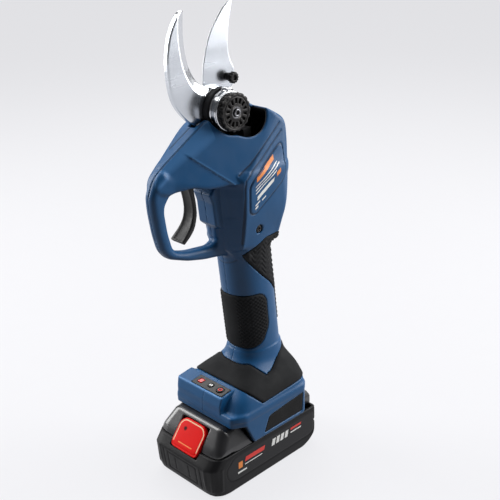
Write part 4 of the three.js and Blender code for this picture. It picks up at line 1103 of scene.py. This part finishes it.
def lower_field(x, y, z):
    outside = lower_outside(x, y, z)
    inside = np.maximum(outside + 2.3, -54 - y)
    f = smax(outside, z - 34.85, 0.5)
    f = np.maximum(f, -inside)
    return smax(f, -button_mouth(x, y, z), 0.8)


def lower_paint(x, y, z):
    band = unit(-BAND(y, z) + 0.5) * (np.abs(x) > 36.6)
    # painted shade along the pack's grooves; the band is the side label's own colour
    return {"groove": pack_grooves(x, y, z) * 0.8, "band": band}


def upper_field(x, y, z):
    ax = np.abs(x)
    plan = smax(PACK_PLAN(ax, y - 6), (ax - FLANK + (z - 35) * 0.4) * 0.93, 2)
    shoulder = smax(SHOULDER(y, z), plan, np.interp(y, [-40, -30], [7, 1]))
    flange = block(x, y, z, (-33, -30, SPLIT), (33, 37.8, 43), 1)
    rails = np.minimum(flange, block(x, y, z, (-29, -30, SPLIT), (29, 37.8, 54.2), 1))
    groove = np.maximum(np.maximum(30.4 - ax, slab(z, 43, 47)), -18 - y)
    bevel = (y - 52) * 0.78 + (z - 49.6) * 0.62
    tail = smax(block(x, y, z, (-31, 37, SPLIT), (31, 57, 49.6), 0.8), bevel, 0.8)
    f = smin(smin(shoulder, rails, 0.5), tail, 0.5)
    f = smax(f, -groove, 0.4)
    f = smax(f, SPLIT - z, 0.4)
    hollow = np.minimum(
        block(x, y, z, (-27, -39, 30), (27, 35, 51.8), 0.5),
        np.maximum(np.maximum(ax - 26, SHOULDER(y, z) + 3.2), 30 - z),
    )
    f = np.maximum(f, -hollow)
    for slot in (-15, -7.5, 0, 7.5, 15):
        f = smax(f, -block(x, y, z, (slot - 1.6, -12, 49.8), (slot + 1.6, 42, 60), 0.3), 0.3)
    return smax(f, -button_mouth(x, y, z), 0.7)


def button_field(x, y, z):
    along, height = on_slope(y, z)
    face = BUTTON_FACE(x, along)
    crown = 1.35 - 0.0022 * x * x - 0.05 * np.clip(5.5 - along, 0, 6) ** 1.5
    crown = crown - 0.28 * notch_line(face + 1.7, 0.45)
    crown = crown - 0.25 * notch_line(along - 5.6, 0.35) * (np.abs(x) < 8)
    return smax(smax(height - crown, -3.4 - height, 0.4), face, 0.8)


def button_paint(x, y, z):
    along, height = on_slope(y, z)
    face = BUTTON_FACE(x, along)
    top = height > 0.2
    trim = unit(1.7 - np.abs(face + 1.7) / 0.35) * top * (along > 4.5)
    mark = unit(2.2 - np.hypot(x + 6.5, along - 17.5)) * top
    line = unit(1.4 - np.abs(along - 5.6) / 0.4) * top * (np.abs(x) < 8)
    return {"trim": trim, "mark": mark, "line": line}


def add_battery():
    sculpt("battery_base", lower_field, (-37.6, -66.4, 0), (37.6, 60, 35), 0.75, "case_black", "battery",
           ["battery_case_lower"], paint=lower_paint)
    sculpt("battery_shoulder", upper_field, (-37.6, -60, 35), (37.6, 57.5, 54.5), 0.7, "shoulder_black",
           "battery", ["battery_case_upper"])
    sculpt("release_key", button_field, (-15.8, -65, 28), (15.8, -42, 53.5), 0.45, "button_red",
           "release_button", ["release_button"], paint=button_paint)


# ---- printed marks


def surface_x(y, z, start=30.0):
    """Where the right-hand shell's surface is, above a point of its side view."""
    x = np.full_like(y, start)
    probe = 0.05
    for _ in range(30):
        here = skin_field(x, y, z)
        slope = (skin_field(x + probe, y, z) - here) / probe
        x = x - np.clip(here / np.maximum(slope, 0.3), -2, 2)
    return x


def housing_print(name, origin, along, across, material):
    """A printed bar on the label panel, from its origin corner."""
    columns, rows = 14, 5
    u, v = (g.ravel() for g in np.meshgrid(np.linspace(0, 1, columns), np.linspace(0, 1, rows)))
    y = origin[0] + along[0] * u + across[0] * v
    z = origin[1] + along[1] * u + across[1] * v
    x = surface_x(y, z) + 0.1
    corner = [r * columns + c for r in range(rows - 1) for c in range(columns - 1)]
    faces = [(i, i + 1, i + 1 + columns, i + columns) for i in corner]
    piece = mesh_object(name, np.stack([x, y, z], 1), faces, material)
    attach(piece, "handle")


def pack_print(name, y0, y1, z0, z1, material, lean=0.0):
    side = [(y0, z0), (y1, z0), (y1 + lean, z1), (y0 + lean, z1)]
    bar(name, [(FLANK + 0.06, y, z) for y, z in side], material, "battery")


def add_marks():
    rise = 0.62
    rows = [
        ("label_bar_orange", 3.5, 248.0, 21.0, 3.6, "print_orange"),
        ("label_bar_1", 3.0, 243.6, 24.0, 1.0, "print_white"),
        ("label_bar_2", 3.0, 241.0, 26.5, 1.0, "print_white"),
        ("label_bar_3", 3.0, 238.4, 22.0, 1.0, "print_white"),
        ("label_bar_4", 4.5, 233.4, 18.0, 3.2, "print_white"),
        ("label_bar_5", 2.4, 229.0, 5.0, 1.2, "print_white"),
        ("label_bar_6", 9.6, 232.0, 4.0, 1.2, "print_white"),
        ("label_bar_7", 2.4, 226.4, 3.0, 1.6, "print_white"),
    ]
    for name, y, z, length, tall, material in rows:
        housing_print(name, (y, z), (length, length * rise), (0, tall), material)
    housing_print("label_bar_8", (25.2, 247.5), (4.5, 4.5 * rise), (0, 3.4), "print_orange")
    pack_print("pack_badge", -36, -31.5, 18.5, 24.5, "print_orange")
    pack_print("pack_bar_red", -29, -7, 22.2, 26.2, "print_red", 1.5)
    pack_print("pack_bar_thin", -29, -9, 19.2, 20.1, "print_white")
    pack_print("pack_bar_small", -37, -27, 14.2, 15.8, "print_white")
    for i in range(4):
        pack_print(f"pack_gauge_{i + 1}", 2 + i * 5.2, 5.6 + i * 5.2, 21.0, 27.2, "print_white", 1.6)
    pack_print("pack_bar_tail", 25, 38, 25.4, 27.4, "print_red", 0.6)
    pack_print("pack_bar_tail_white", 25, 38, 22.4, 23.6, "print_white", 0.4)


# ---- assembly

add_plastics()
add_metals()
add_plain_looks()
add_camera()
add_stage()
dress_nodes()
add_housing()
add_pads()
add_blades()
add_pivot()
add_screws()
add_trigger()
add_controls()
add_battery()
add_marks()
